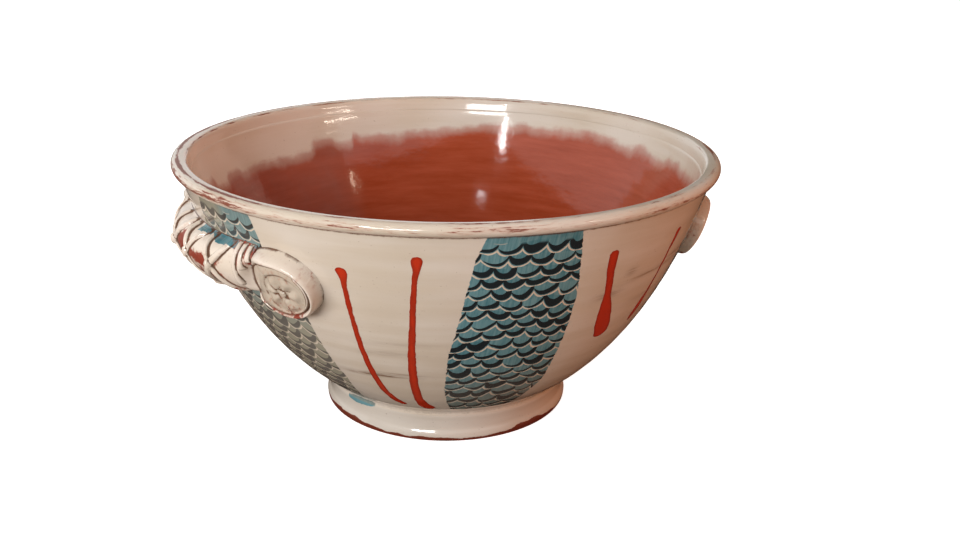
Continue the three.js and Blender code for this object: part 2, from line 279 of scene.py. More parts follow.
@dataclass
class Decoration:
    """Where the painter's bands, stripes and smudges lie. Azimuth 0 faces -Y, and 90 faces +X."""

    bands: int = 6
    first_band: float = -13.3
    # Height, degrees that the middle line sways, half width in millimetres.
    band_shape: tuple[tuple[float, float, float], ...] = (
        (20, -1.0, 15), (25, -1.2, 17), (33, -0.9, 21.5), (49, -0.4, 27.8), (64, -0.5, 29.2),
        (77, -0.5, 30.4), (94, 0.1, 30.2), (115, 0.5, 29.6), (139, 0.6, 26.9), (152, 1.1, 23.7),
        (158, 1.2, 23.2),
    )
    band_top: float = 151.2
    band_foot: float = 24.5
    band_offset: float = 137.0  # millimetres from the pattern of one band to that of the next
    # By the left handle the band is painted greyer and darker: painted reflection and shade.
    left_band: float = -73.0  # azimuth of the band by the left handle, which is greyer
    left_band_reach: float = 24.0  # degrees to each side that count as this band
    left_band_sway: float = 9.5  # millimetres that its top lies further to the left
    # The stripes that face the front, each as the places of a stroke.
    front_strokes: tuple[tuple[tuple[float, float, float], ...], ...] = (
        (
            (-48.2, 128.5, 3.0), (-48.0, 126.5, 2.7), (-48.0, 123.5, 1.9), (-48.1, 119, 1.4),
            (-48.1, 100, 1.5), (-48.2, 80, 1.6), (-48.0, 60, 1.9), (-47.4, 42, 2.1), (-46.0, 34, 2.5),
            (-44.8, 30.6, 3.0), (-44.0, 29.4, 2.4),
        ),
        (
            (-33.4, 138.3, 2.9), (-33.4, 136, 2.8), (-33.6, 132, 1.8), (-34.0, 126, 1.4),
            (-34.6, 112, 1.5), (-35.2, 96, 1.7), (-36.2, 76, 2.1), (-37.0, 52, 2.4), (-37.0, 38, 2.5),
            (-36.2, 31, 3.6), (-35.2, 28, 4.4), (-34.6, 26.5, 3.8),
        ),
        (
            (5.6, 133.5, 3.0), (5.6, 131, 3.1), (6.2, 122, 2.7), (7.4, 112, 2.4), (8.0, 106, 2.7),
            (8.8, 101, 4.0), (9.8, 94, 5.2), (11.4, 85, 6.1), (12.6, 79, 5.3),
        ),
        (
            (26.8, 134, 2.6), (26.6, 131, 2.2), (26.0, 122, 1.2), (25.6, 108, 1.2), (25.4, 98, 1.5),
            (25.2, 90, 3.0), (25.0, 82, 3.0), (24.8, 78, 1.4),
        ),
    )
    other_pairs: tuple[float, ...] = (169.7, 226.7)  # where the other pairs of stripes are turned to
    strokes: list[Stroke] = field(init=False)
    far: float = 12.0  # millimetres outside a stripe at which nothing of it shows
    # Degrees, height, half length, half height, strength.
    smudges: tuple[tuple[float, float, float, float, float], ...] = (
        (-49, 57.5, 24, 0.9, 1.6), (-44, 60, 20, 0.8, 0.9), (-42, 77, 16, 2.2, 0.35),
        (8, 107, 9, 2.4, 0.8), (13, 118.5, 4, 2.4, 0.7), (22, 113, 24, 1.1, 0.8),
        (33, 118, 15, 1.3, 0.8), (25, 97, 18, 1.6, 0.35), (30, 84, 16, 1.4, 0.25), (-8, 29, 17, 2.6, 0.7),
        (-38, 84, 24, 1.5, 0.25), (96, 60, 26, 1.4, 0.6), (150, 110, 22, 1.3, 0.7),
        (172, 66, 30, 1.2, 0.6), (-150, 57, 24, 1.2, 0.7), (-128, 112, 20, 1.4, 0.5),
    )
    # A dab of teal by the foot: degrees, height, half length, half height.
    foot_dab: tuple[float, float, float, float] = (-70.5, 16.3, 12.5, 2.7)
    foot_dab_radius: float = 75.0
    foot_dab_fade: float = 0.42
    # Where the cream slip ends inside: degrees and height.
    slip_line: tuple[tuple[float, float], ...] = (
        (-180, 134), (-165, 131), (-151, 130.5), (-138, 130), (-124, 129.5), (-112, 132), (-70, 134),
        (-30, 130), (10, 133), (40, 136), (64, 142.5), (88, 140.5), (99, 142), (110, 143.5), (126, 142.5),
        (138, 138.5), (152, 136), (164, 133.2), (180, 134),
    )
    dab_degrees: float = 7.2  # how wide each dab of the brush is along that end
    dab_reach: float = 3.4  # millimetres that a dab may reach past it

    def __post_init__(self) -> None:
        """Lays out the stripes: those that face the front, then the other pairs."""
        self.strokes = [Stroke(places) for places in self.front_strokes]
        for number, turn in enumerate(self.other_pairs):
            self.strokes += pair_of_strokes(turn, 30 + number)

    def blank(self, points: Array) -> dict[str, Array]:
        """The marks of plain cream slip.

        Args:
            points: Places in millimetres, one row each.

        Returns:
            band: across, along and inside its edge; stroke: outside its edge; inside: below the slip's end;
            grain: where the wear is looked up; the others: strengths.
        """
        rows = len(points)
        return {
            "band": np.tile([0.0, 0.0, -30.0], (rows, 1)),
            "grain": points.copy(),
            "stroke": np.full(rows, self.far),
            "inside": np.full(rows, -60.0),
            **{name: np.zeros(rows) for name in ("smudge", "faded", "veil", "worn", "hollow")},
        }

    def mark(self, points: Array) -> dict[str, Array]:
        """Measures each point outside the bowl against the bands, stripes and smudges.

        Args:
            points: Places in millimetres, one row each.

        Returns:
            The marks.
        """
        height = points[:, 2]
        azimuth, radius = azimuth_of(points), np.hypot(points[:, 0], points[:, 1])
        heights, sways, widths = np.array(self.band_shape).T
        pitch = 360 / self.bands
        turned = azimuth - self.first_band - np.interp(height, heights, sways)
        number = np.floor((turned + pitch / 2) / pitch)
        across = np.radians((turned + pitch / 2) % pitch - pitch / 2) * radius
        left_band = np.abs(degrees_past(azimuth, self.left_band)) < self.left_band_reach
        shift = self.left_band_sway * left_band * ease(height, 100, 128)
        edge = np.interp(height, heights, widths) - np.abs(across + shift)
        edge = np.minimum(edge, np.minimum(self.band_top - height, 1.3 * (height - self.band_foot)))
        stroke = np.min([s.distance(azimuth, radius, height) for s in self.strokes], axis=0)
        smudge = np.zeros(len(points))
        for degrees, middle, length, thickness, strength in self.smudges:
            away = np.radians(degrees_past(azimuth, degrees)) * radius
            rise = height - middle - 0.04 * away
            smudge += strength * np.exp(-((away / length) ** 2) - (rise / thickness) ** 2)
        low = 0.5 * (1 - ease(height, 24, 78))
        # The left band goes grey below the handle and on one side near the top: painted reflection and shade.
        grey = 1 - 0.7 * ease(height, 78, 108) + 0.8 * ease(-across, 4, 20) * ease(height, 112, 130)
        faded = np.maximum(low, np.where(left_band, grey, 0).clip(0, 1))
        dab = self.dab(points)
        near = dab > -2
        up = np.where(near, self.band_top, height)
        return self.blank(points) | {
            "band": np.column_stack([across + self.band_offset * number, up, np.maximum(edge, dab)]),
            "stroke": np.minimum(stroke, self.far),
            "smudge": smudge,
            "faded": np.where(near, self.foot_dab_fade, faded),
        }

    def dab(self, points: Array) -> Array:
        """Measures points against the edge of the dab by the foot.

        Args:
            points: Places in millimetres, one row each.

        Returns:
            How far each point lies inside the edge, in millimetres.
        """
        degrees, middle, length, height = self.foot_dab
        away = np.radians(degrees_past(azimuth_of(points), degrees)) * self.foot_dab_radius
        inside = 1 - np.hypot(away / length, (points[:, 2] - middle - 0.07 * away) / height)
        return np.maximum(height * inside, -30)

    def inside(self, points: Array) -> dict[str, Array]:
        """Measures each point inside the bowl against the end of the slip, which was brushed on in dabs.

        Args:
            points: Places in millimetres, one row each.

        Returns:
            The marks.
        """
        azimuth, height = azimuth_of(points), points[:, 2]
        degrees, heights = np.array(self.slip_line).T
        dabs = np.random.default_rng(12).uniform(-1, 1, 400)
        number, past = np.divmod((azimuth + 180) / self.dab_degrees, 1)
        step = ease(past, 0.7, 1.0)
        dab = dabs[number.astype(int)] * (1 - step) + dabs[number.astype(int) + 1] * step
        turned = azimuth % 360
        reach = self.dab_reach * (0.4 + 0.6 * ease(turned, 100, 140))
        line = np.interp(azimuth, degrees, heights) + reach * dab
        veil = ease(turned, 178, 190) * (1 - ease(turned, 246, 280)) * ease(height, 40, 80)
        return self.blank(points) | {"inside": line - height, "veil": veil}


# Thrown bowl


@dataclass
class WallShape:
    """The thrown wall: one curve from the foot's shoulder to the lip, as radius and height in millimetres."""

    start: tuple[float, float] = (76.8, 20.43)
    top: tuple[float, float] = (156.0, 152.0)
    lean_at_foot: float = 54.0
    lean_at_rim: float = 19.5
    belly_fullness: float = 0.46
    rim_fullness: float = 0.1
    belly_thickness: float = 8.5
    lip_thickness: float = 5.6
    lip_swell: float = 0.36  # how much the wall thickens inside, below the roll round the lip

    @cached_property
    def curve(self) -> Array:
        """Draws the outer wall from the foot up.

        Returns:
            Radius and height, one row each.
        """
        start, top = np.array(self.start), np.array(self.top)
        chord = float(np.linalg.norm(top - start))
        low, high = math.radians(self.lean_at_foot), math.radians(self.lean_at_rim)
        from_start = start + self.belly_fullness * chord * np.array([math.sin(low), math.cos(low)])
        from_top = top - self.rim_fullness * chord * np.array([math.sin(high), math.cos(high)])
        return bezier(start, from_start, from_top, top, 2000)

    @cached_property
    def shares(self) -> Array:
        """The share of the wall's length that lies below each point of the curve."""
        steps = np.linalg.norm(np.diff(self.curve, axis=0), axis=1)
        return np.concatenate([[0], np.cumsum(steps)]) / steps.sum()

    @cached_property
    def length(self) -> float:
        """The wall's length from foot to lip."""
        return float(np.linalg.norm(np.diff(self.curve, axis=0), axis=1).sum())

    def beside(self, share: Array, out: Array | float) -> Array:
        """Points at shares of the way up the wall, moved out from its face.

        Args:
            share: The share of the way up.
            out: The distance out, below zero into the wall.

        Returns:
            Radius and height, one row each.
        """
        share = np.clip(share, 0, 1)
        place = np.column_stack([np.interp(share, self.shares, self.curve[:, k]) for k in (0, 1)])
        slope = np.gradient(self.curve, axis=0)
        slope /= np.linalg.norm(slope, axis=1)[:, None]
        run = np.column_stack([np.interp(share, self.shares, slope[:, k]) for k in (0, 1)])
        face = np.column_stack([run[:, 1], -run[:, 0]])
        return place + face * np.reshape(out, (-1, 1))

    def inner(self, share: Array) -> Array:
        """Points of the inner face at shares of the way up the wall."""
        thickness = self.belly_thickness + (self.lip_thickness - self.belly_thickness) * share
        return self.beside(share, -(thickness + self.lip_swell * ease(share, 0.945, 0.995)))


@dataclass
class ThrownBowl:
    """The thrown bowl with its foot ring and the roll round its lip."""

    wall: WallShape
    decoration: Decoration
    foot_radius: float = 75.7
    foot_height: float = 16.3
    foot_inner: float = 63.7
    tread_inner: float = 65.3
    waist_radius: float = 74.7
    fillet: float = 2.6
    recess: float = 9.5  # height of the underside
    floor: float = 18.5  # height of the floor inside
    well_flatness: float = 0.5
    well_start: float = 0.2  # share of the way up the wall at which the well of the floor begins
    inner_top: float = 0.975  # share of the way up at which the roll round the lip begins inside
    axis_gap: float = 0.4  # radius of the smallest ring, round the axis
    bare_foot: float = 3.1  # height of the clay that is left bare, so that it doesn't stick in the kiln
    underside_wear: float = 0.62
    throwing_rings: float = 0.045  # height of the ridges that the potter's fingers leave
    ring_pitch: float = 10.5
    smoothed: float = 0.12  # how much of the unevenness is left inside, where a rib went over it
    bead_girth: float = 26.0
    steps_round: int = 432

    def revolve(self, profile: Array, uneven: Array | float = 1.0) -> Array:
        """Turns a profile round the axis, with the unevenness of a pot that was thrown by hand.

        Args:
            profile: Radius and height from one end of the skin to the other.
            uneven: How much of the unevenness it takes, for all or for each point of the profile.

        Returns:
            Rings of points.
        """
        turn = np.linspace(0, 2 * math.pi, self.steps_round, endpoint=False)
        radius, height = profile[:, :1], profile[:, 1:]
        lift = ease(height, 17, 34) * np.reshape(uneven, (-1, 1))
        ridges = self.throwing_rings * np.sin(2 * math.pi * height / self.ring_pitch + turn)
        soft = 0.22 * np.sin(2 * turn + 0.6) + 0.16 * np.sin(3 * turn + height / 40)
        radius = radius + lift * (ridges + soft) * ease(radius, 20, 70)
        x, y = radius * np.sin(turn), -radius * np.cos(turn)
        return np.stack([x, y, np.broadcast_to(height, x.shape)], axis=2)

    @cached_property
    def inner_end(self) -> Array:
        """Where the inner face of the wall meets the roll round the lip."""
        return self.wall.inner(np.array([self.inner_top]))[0]

    def wall_skin(self) -> Skin:
        """Underside, outer wall, inner wall and floor in one.

        Returns:
            The skin with its marks.
        """
        start = np.array(self.wall.start)
        shoulder = np.array([self.waist_radius, self.foot_height])
        corner = np.array([self.waist_radius, self.foot_height + self.fillet])
        handles = [end + 0.67 * (corner - end) for end in (shoulder, start)]
        fillet = bezier(shoulder, *handles, start, 6)
        outer = self.wall.beside(np.linspace(0, 1, 96), 0)
        inner = self.wall.inner(np.linspace(self.inner_top, self.well_start, 78))
        edge, slope = inner[-1], inner[-1] - inner[-2]
        slope /= np.linalg.norm(slope)
        down = edge + slope * 0.7 * (self.floor - edge[1]) / slope[1]
        level = np.array([edge[0] * self.well_flatness, self.floor])
        well = bezier(edge, down, level, np.array([self.axis_gap, self.floor]), 30)
        flat = [(radius, self.recess) for radius in (self.axis_gap, 20, 45, 65)]
        under = np.array([*flat, (72, 13), (self.waist_radius - 0.8, 14.4)])
        profile = np.vstack([under, fillet, outer[1:], [[153.4, 152.6]], inner, well[1:]])
        count = len(under) + len(fillet) + len(outer)
        skin = Skin(self.revolve(profile, np.where(np.arange(len(profile)) < count, 1.0, self.smoothed)))
        outside, inside = skin.rings[:count].reshape(-1, 3), skin.rings[count:].reshape(-1, 3)
        painted, bare = self.decoration.mark(outside), self.decoration.inside(inside)
        painted["hollow"] = self.hollow_outside(outside)
        painted["worn"][: len(under) * self.steps_round] = self.underside_wear
        skin.marks = {name: np.concatenate([values, bare[name]]) for name, values in painted.items()}
        return skin

    def hollow_outside(self, points: Array) -> Array:
        """How dark the hollow under the roll round the lip is, and where the wall leaves the foot: gathered
        glaze and painted shade.
        """
        height = points[:, 2]
        return 0.95 * ease(height, 149.4, 151.2) + 0.4 * bell(height, 18, 2.2)

    def foot_skin(self) -> Skin:
        """The ring that the bowl stands on, with its unglazed edge.

        Returns:
            The skin with its marks.
        """
        waist, foot, inside = self.waist_radius, self.foot_radius, self.tread_inner
        outer = spline(
            [
                (waist - 0.3, self.foot_height + 1), (waist - 0.05, 15.4), (waist - 0.55, 12.5),
                (waist - 0.85, 9.5), (waist - 0.7, 7.2), (waist + 0.25, 5.1), (foot - 0.05, 3.2),
                (foot - 0.1, 1.9),
            ],
            4,
        )
        tread = spline([(foot - 0.1, 1.9), (foot - 0.25, 0.75), (foot - 0.75, 0.2), (foot - 1.4, 0.0)], 3)
        inner = spline(
            [(inside + 1.3, 0.0), (inside + 0.5, 0.25), (inside, 1.2), (64.6, 5), (self.foot_inner, 10.6)], 4
        )
        section = np.vstack([outer, tread[1:], [[71, 0.0]], inner, [[66, 13.5], [72.5, 16.6]]])
        skin = Skin(self.revolve(section, 0).transpose(1, 0, 2), hoop=True)
        points, height = skin.points, skin.points[:, 2]
        skin.marks = self.decoration.blank(points)
        skin.marks["band"][:, 1] = self.decoration.band_top
        skin.marks["band"][:, 2] = self.decoration.dab(points)
        ragged = self.bare_foot + 1.2 * wander(points[:, :2], 26, 5) + 0.5 * wander(points[:, :2], 7, 6)
        skin.marks["worn"] = 1 - ease(height, ragged - 0.8, ragged + 0.8)
        # Darker where the ring meets the wall: gathered glaze and painted shade.
        skin.marks["hollow"] = 0.3 * bell(height, 16, 2.4)
        return skin

    def rim_skin(self) -> Skin:
        """The roll of clay round the lip, undercut outside.

        Returns:
            The skin with its marks.
        """
        bead = spline(
            [
                (154.6, 150.4), (156.6, 151.05), (158.7, 152.2), (159.85, 154.3), (159.1, 156.5),
                (156.9, 157.85), (154.2, 157.8), (152.5, 157.5), (151.15, 156.6), (150.3, 154.7),
                (149.7, 152.2), tuple(self.inner_end),
            ],
            3,
        )
        skin = Skin(self.revolve(bead).transpose(1, 0, 2), hoop=True)
        around = np.tile(np.linspace(0, 1, len(bead)), self.steps_round)
        azimuth = azimuth_of(skin.points)
        skin.marks = self.decoration.blank(skin.points)
        skin.marks["grain"] = np.column_stack([skin.points[:, :2] / 9, self.bead_girth * around])
        skin.marks["worn"] = self.rim_wear(skin.points, around)
        right_back = ease(azimuth, 70, 110) * (1 - ease(azimuth, 150, 175))
        joint = (0.05 + 0.25 * right_back) * bell(around, 0.93, 0.03)
        # The undercut and the inner joint are darkened: gathered glaze and painted shade.
        skin.marks["hollow"] = 0.9 * bell(around, 0, 0.05) + joint
        return skin

    def rim_wear(self, points: Array, around: Array) -> Array:
        """Wears the roll round the lip along the lines that hands and cloths touch.

        Args:
            points: Places in millimetres, one row each.
            around: Share of the way round the roll: 0 in the undercut outside, a half on top, 1 inside.

        Returns:
            How far the slip is worn through to the clay.
        """
        azimuth = azimuth_of(points)
        drift = 0.5 * wander(points[:, :2], 46, 11) + 0.35 * wander(points[:, :2], 13, 12)
        left, right, behind = bell(azimuth, -92, 38), bell(azimuth, 48, 30), np.abs(azimuth) / 180
        shoulder = bell(around, 0.27 + 0.03 * drift, 0.055)
        crest = bell(around, 0.47, 0.03) + 0.6 * bell(around, 0.38 - 0.02 * drift, 0.02)
        edges = bell(around, 0.49, 0.03) + bell(around, 0.69, 0.03)
        lines = shoulder * (0.17 + 0.14 * left + 0.26 * right + 0.07 * drift)
        lines += edges * behind * (0.36 + 0.5 * drift)
        lines += crest * (0.19 + 0.06 * left + 0.2 * behind * (1 + drift) + 0.12 * drift)
        lines += bell(around, 0.12, 0.05) * (0.34 + 0.08 * left + 0.3 * right - 0.12 * drift)
        return 0.12 + lines + 0.09 * left * (1 - ease(around, 0.3, 0.45)) + 0.04 * drift

    def dress(self, glazes: "GlazeBench") -> None:
        """Builds the three pieces of the thrown bowl and glazes them.

        Args:
            glazes: The finishes to choose from.
        """
        build_piece("bowl_body", self.wall_skin(), ["bowl_body"], glazes.wall)
        foot = build_piece("foot_ring", self.foot_skin(), ["foot_ring"], glazes.foot)
        # The foot ring is hidden from glossy rays, so the wall's glaze shows no reflection of it.
        foot.visible_glossy = False
        build_piece("rim_roll", self.rim_skin(), ["rim_roll"], glazes.rim)


# Lug handles


class Side(Enum):
    """Which handle it is: the degrees that it is turned about the bowl's axis from +X."""

    LEFT = 180.0
    RIGHT = -4.0


class End(Enum):
    """An end of a handle, as the sign of its distance along the handle."""

    PLUS = 1
    MINUS = -1

    def place(self, side: Side) -> str:
        """Whether this end of that handle faces the front or the back of the bowl."""
        return "front" if (self is End.PLUS) == (side is Side.LEFT) else "back"


@dataclass(frozen=True)
class Ribbon:
    """A strap of clay across the roll: where its middle lies, and how far it travels while it crosses."""

    middle: float
    travel: float
    width: float
    thickness: float
    groove: float

    def along(self, turn: Array) -> Array:
        """Where the strap's middle line lies along the roll, at each turn from joint to joint."""
        return self.middle + self.travel * (ease(turn, 0.04, math.pi - 0.04) - 0.5)

    def lean(self, turn: Array, girth: float) -> Array:
        """Radians that the strap leans from straight across a roll with this many millimetres a radian."""
        return np.arctan2((self.along(turn + 0.01) - self.along(turn - 0.01)) / 0.02, girth)

    def rise(self, off: Array) -> Array:
        """Shapes the strap across its width: soft sides and perhaps a groove.

        Args:
            off: Distance off its middle line.

        Returns:
            How high it stands.
        """
        half = self.width / 2
        body = self.thickness * (1 - ease(np.abs(off), 0.45 * half, 1.22 * half))
        return body - self.groove * bell(off, 0, 0.22 * half)


@dataclass
class LugHandle:
    """A lug: a fat roll of clay crossed by ribbons, bound at its necks, with a scroll and a pad at each end.

    Its pieces are worked out flat, with x along the handle, y up the wall and z out from the wall, and then
    laid on the round of the wall.
    """

    wall: WallShape
    decoration: Decoration
    drop: float = 42.0
    roll_height: float = 31.0
    roll_proud: float = 15.5
    roll_centre: float = 4.5
    roll_lift: float = 5.0
    neck_start: float = 44.0
    neck_height: float = 28.0
    neck_proud: float = 10.5
    neck_centre: float = 7.0
    suddenness: float = 4.0
    scroll_middle: float = 68.25
    scroll_centre: float = 3.0
    scroll_length: float = 45.5
    scroll_height: float = 39.0
    scroll_proud: float = 10.2
    coil_width: float = 6.6
    coil_tail: float = 0.42
    coil_start: float = 132.0
    coil_turn: float = 286.0
    pad_proud: float = 8.0
    binding_pitch: float = 4.1
    bindings: int = 3
    joint_flare: float = 1.4  # how far the slip is smoothed out onto the wall
    flare_softness: float = 1.1
    set_in: float = 0.3  # how far the pieces are pressed into the wall
    sunk: float = 0.45  # how far the ribbons are pressed into the roll
    end_taper: float = 0.16  # radians over which a ribbon thins out at its ends
    ridge_start: float = 0.62  # share of the coil's width at which its inner ridge starts
    stamp_radius: float = 12.1
    stamp_depth: float = 0.9
    petals: int = 6
    petal_height: float = 1.4
    button_height: float = 1.2
    roll_girth: float = 15.0  # millimetres round the roll's face for a turn of one radian
    under: tuple[Ribbon, ...] = (
        Ribbon(-16, 25, 4.2, 1.9, 0.0), Ribbon(6, 25, 3.8, 2.0, 0.3), Ribbon(28, 25, 4.4, 1.8, 0.0),
    )
    over: tuple[Ribbon, ...] = (
        Ribbon(-34, -14, 3.6, 1.9, 0.3), Ribbon(-12, -14, 3.2, 2.1, 0.0), Ribbon(10, -14, 3.8, 2.0, 0.45),
        Ribbon(32, -14, 3.3, 2.1, 0.0),
    )

    @cached_property
    def radius(self) -> float:
        """The wall's radius behind the handle's middle line."""
        return float(self.wall.beside(np.array([1 - self.drop / self.wall.length]), 0)[0, 0])

    def on_wall(self, flat: Array, side: Side) -> Array:
        """Lays flat points on the wall, on one side of the bowl.

        Args:
            flat: Rings of points (along, up, out) in millimetres.
            side: Which handle it is.

        Returns:
            The same rings in the bowl's frame.
        """
        along, up, out = flat.reshape(-1, 3).T
        place = self.wall.beside(1 + (up - self.drop) / self.wall.length, out)
        angle = along / self.radius + math.radians(side.value)
        made = np.column_stack([place[:, 0] * np.cos(angle), place[:, 0] * np.sin(angle), place[:, 1]])
        return made.reshape(flat.shape)

    def roll_place(self, along: Array, turn: Array) -> Array:
        """Finds places on the roll's face.

        Args:
            along: Distance along the roll.
            turn: Radians round it, 0 at the lower joint with the wall and pi at the upper one.

        Returns:
            Flat places.
        """
        draw = np.minimum(np.abs(along) / self.neck_start, 1) ** self.suddenness
        half = (self.roll_height + (self.neck_height - self.roll_height) * draw) / 2
        centre = self.roll_centre + (self.neck_centre - self.roll_centre) * draw
        proud = self.roll_proud + (self.neck_proud - self.roll_proud) * draw
        out = proud * np.sin(turn) - self.set_in
        flare = self.joint_flare * np.exp(-np.maximum(out, 0) / self.flare_softness)
        up = centre - (half + flare) * np.cos(turn) + self.roll_lift * (1 - draw) * np.sin(turn)
        # The neck sinks where it runs in under the scroll.
        out = out * (1 - 0.6 * ease(self.scroll_depth(along, up), 0.0, 5.5))
        return np.stack([along, up, out], axis=-1)

    def scroll_depth(self, along: Array | float, up: Array) -> Array:
        """Measures flat places against the outline of the scroll at their end.

        Args:
            along: Distance along the roll.
            up: Distance up the wall.

        Returns:
            How far each place lies inside the outline, in millimetres.
        """
        half_length, half_height = self.scroll_length / 2, self.scroll_height / 2
        across = (np.abs(along) - self.scroll_middle) / half_length
        return (1 - np.hypot(across, (up - self.scroll_centre) / half_height)) * half_height

    def on_roll(self, along: Array, turn: Array, out: Array) -> Array:
        """A place over the roll's face.

        Args:
            along: Distance along the roll.
            turn: Radians round it from the lower joint.
            out: Height over its face.

        Returns:
            Flat places.
        """
        step = 0.01
        lengthwise = self.roll_place(along + step, turn) - self.roll_place(along - step, turn)
        around = self.roll_place(along, turn + step) - self.roll_place(along, turn - step)
        face = np.cross(lengthwise, around)
        face /= np.linalg.norm(face, axis=-1, keepdims=True)
        return self.roll_place(along, turn) + face * np.asarray(out)[..., None]

    def roll_skin(self) -> Skin:
        """The fat roll, a little uneven from the hand that rolled it.

        Returns:
            Its skin, flat.
        """
        along, turn = np.meshgrid(np.linspace(-57, 57, 190), np.linspace(0, math.pi, 56), indexing="ij")
        places = np.column_stack([along.ravel(), 14 * turn.ravel()])
        uneven = 0.35 * wander(places, 16, 3).reshape(along.shape)
        pressed = 0.3 * bell(np.abs(along), 44.5, 2.5)
        face = self.on_roll(along, turn, (uneven - pressed) * np.sin(turn))
        low, high = face[:, :1], face[:, -1:]
        back = [low * (1 - t) + high * t - np.array([0, 0, 1.6]) for t in (0.95, 0.5, 0.05)]
        return Skin(np.concatenate([face, *back], axis=1))

    def drape(self, ribbon: Ribbon, under: Sequence[Ribbon], turns: Array) -> Skin:
        """Lays a ribbon over the roll and over the ribbons that are there already.

        Args:
            ribbon: The strap to lay.
            under: The straps below it.
            turns: The turns that it runs over, from one end to the other.

        Returns:
            Its skin, flat.
        """
        turn, off = np.meshgrid(turns, np.linspace(-1.3, 1.3, 15) * ribbon.width / 2, indexing="ij")
        lean = ribbon.lean(turn, self.roll_girth)
        along = ribbon.along(turn) + off * np.cos(lean)
        turn = turn - off * np.sin(lean) / self.roll_girth
        height = ribbon.rise(off + 0.25 * np.sin(3.1 * turn + ribbon.middle)) - self.sunk
        for other in under:
            apart = (along - other.along(turn)) * np.cos(other.lean(turn, self.roll_girth))
            height = height + 0.85 * np.maximum(other.rise(apart), 0)
        first, last, taper = turns[0], turns[-1], self.end_taper
        ends = ease(turns, first, first + taper) * (1 - ease(turns, last - taper, last))
        height = (height + self.sunk) * (0.25 + 0.75 * ends[:, None]) - self.sunk
        face = self.on_roll(along, turn, height)
        floor = self.on_roll(along[:, 1:-1:3], turn[:, 1:-1:3], np.full_like(along[:, 1:-1:3], -1.2))
        return Skin(np.concatenate([face, floor[:, ::-1]], axis=1))

    def binding_skin(self, end: End, number: int) -> Skin:
        """One ring of cord-like clay round a neck, from the upper joint until the scroll covers it.

        Args:
            end: Which neck it binds.
            number: Its number, counted from the roll's middle.

        Returns:
            Its skin, flat.
        """
        middle = end.value * (self.neck_start + (number + 0.5) * self.binding_pitch)
        turns = np.linspace(math.pi - 0.02, 0.1, 90)
        up = self.roll_place(np.full_like(turns, middle), turns)[:, 1]
        covered = np.nonzero(self.scroll_depth(middle, up) > 2.4)[0]
        last = turns[covered[0]] if len(covered) else turns[60]
        return self.drape(Ribbon(middle, 0, 3.3, 1.6, 0.0), (), np.linspace(last, math.pi - 0.02, 46))

    def on_scroll(self, angle: Array, inset: Array, out: Array, end: End) -> Array:
        """Finds places on a scroll.

        Args:
            angle: Degrees round its oval.
            inset: Distance in from its outline.
            out: Distance out from the wall.
            end: The end of the handle that it stands at.

        Returns:
            Flat places.
        """
        x = (self.scroll_length / 2 - inset) * np.cos(np.radians(angle))
        y = (self.scroll_height / 2 - inset) * np.sin(np.radians(angle))
        return np.stack([end.value * (self.scroll_middle + x), self.scroll_centre + y, out + 0 * x], axis=-1)

    def coil_size(self, angle: Array) -> Array:
        """How fat the coil is at an angle, as a share of its start."""
        return 1 - (1 - self.coil_tail) * np.clip((self.coil_start - angle) / self.coil_turn, 0, 1)

    def scroll_skin(self, end: End) -> Skin:
        """The coil that curls once round the pad, with a thinner ridge along its inner side.

        Args:
            end: The end of the handle that it stands at.

        Returns:
            Its skin, flat.
        """
        first, last = self.coil_start + 16, self.coil_start - self.coil_turn - 8
        angle, across = np.meshgrid(np.linspace(first, last, 150), np.linspace(0, 1, 27), indexing="ij")
        size = self.coil_size(angle)
        grooved = ease(-angle, -75, -35)
        edge = 1 - (1 - self.ridge_start) * grooved
        main = np.sqrt(np.clip(1 - ((across - edge / 2) / (edge / 2)) ** 2, 0, 1))
        ridge = 0.86 * np.sqrt(np.clip(1 - ((across - 0.8) / 0.2) ** 2, 0, 1)) * grooved
        # The groove between the coil and its ridge doesn't cut down to the wall.
        groove = 0.62 * grooved * (np.abs(across - self.ridge_start) < 0.12)
        arch = np.max([main, ridge, groove], axis=0)
        tail = ease(angle, last, last + 26) * (1 - 0.75 * ease(angle, first - 62, first))
        out = self.scroll_proud * np.sqrt(size) * arch * (0.35 + 0.65 * tail)
        flare = 0.8 * np.exp(-out / self.flare_softness) * (across < 0.5)
        places = np.column_stack([angle.ravel() / 3, 6 * across.ravel()])
        uneven = 0.25 * wander(places, 14, 8).reshape(angle.shape)
        inset = across * self.coil_width * size * (1 + 0.35 * grooved) - flare
        face = self.on_scroll(angle, inset, out + uneven * arch - 0.35, end)
        back = self.on_scroll(angle[:, ::-6], inset[:, ::-6], np.full_like(angle[:, ::-6], -1.6), end)
        return Skin(np.concatenate([face, back], axis=1))

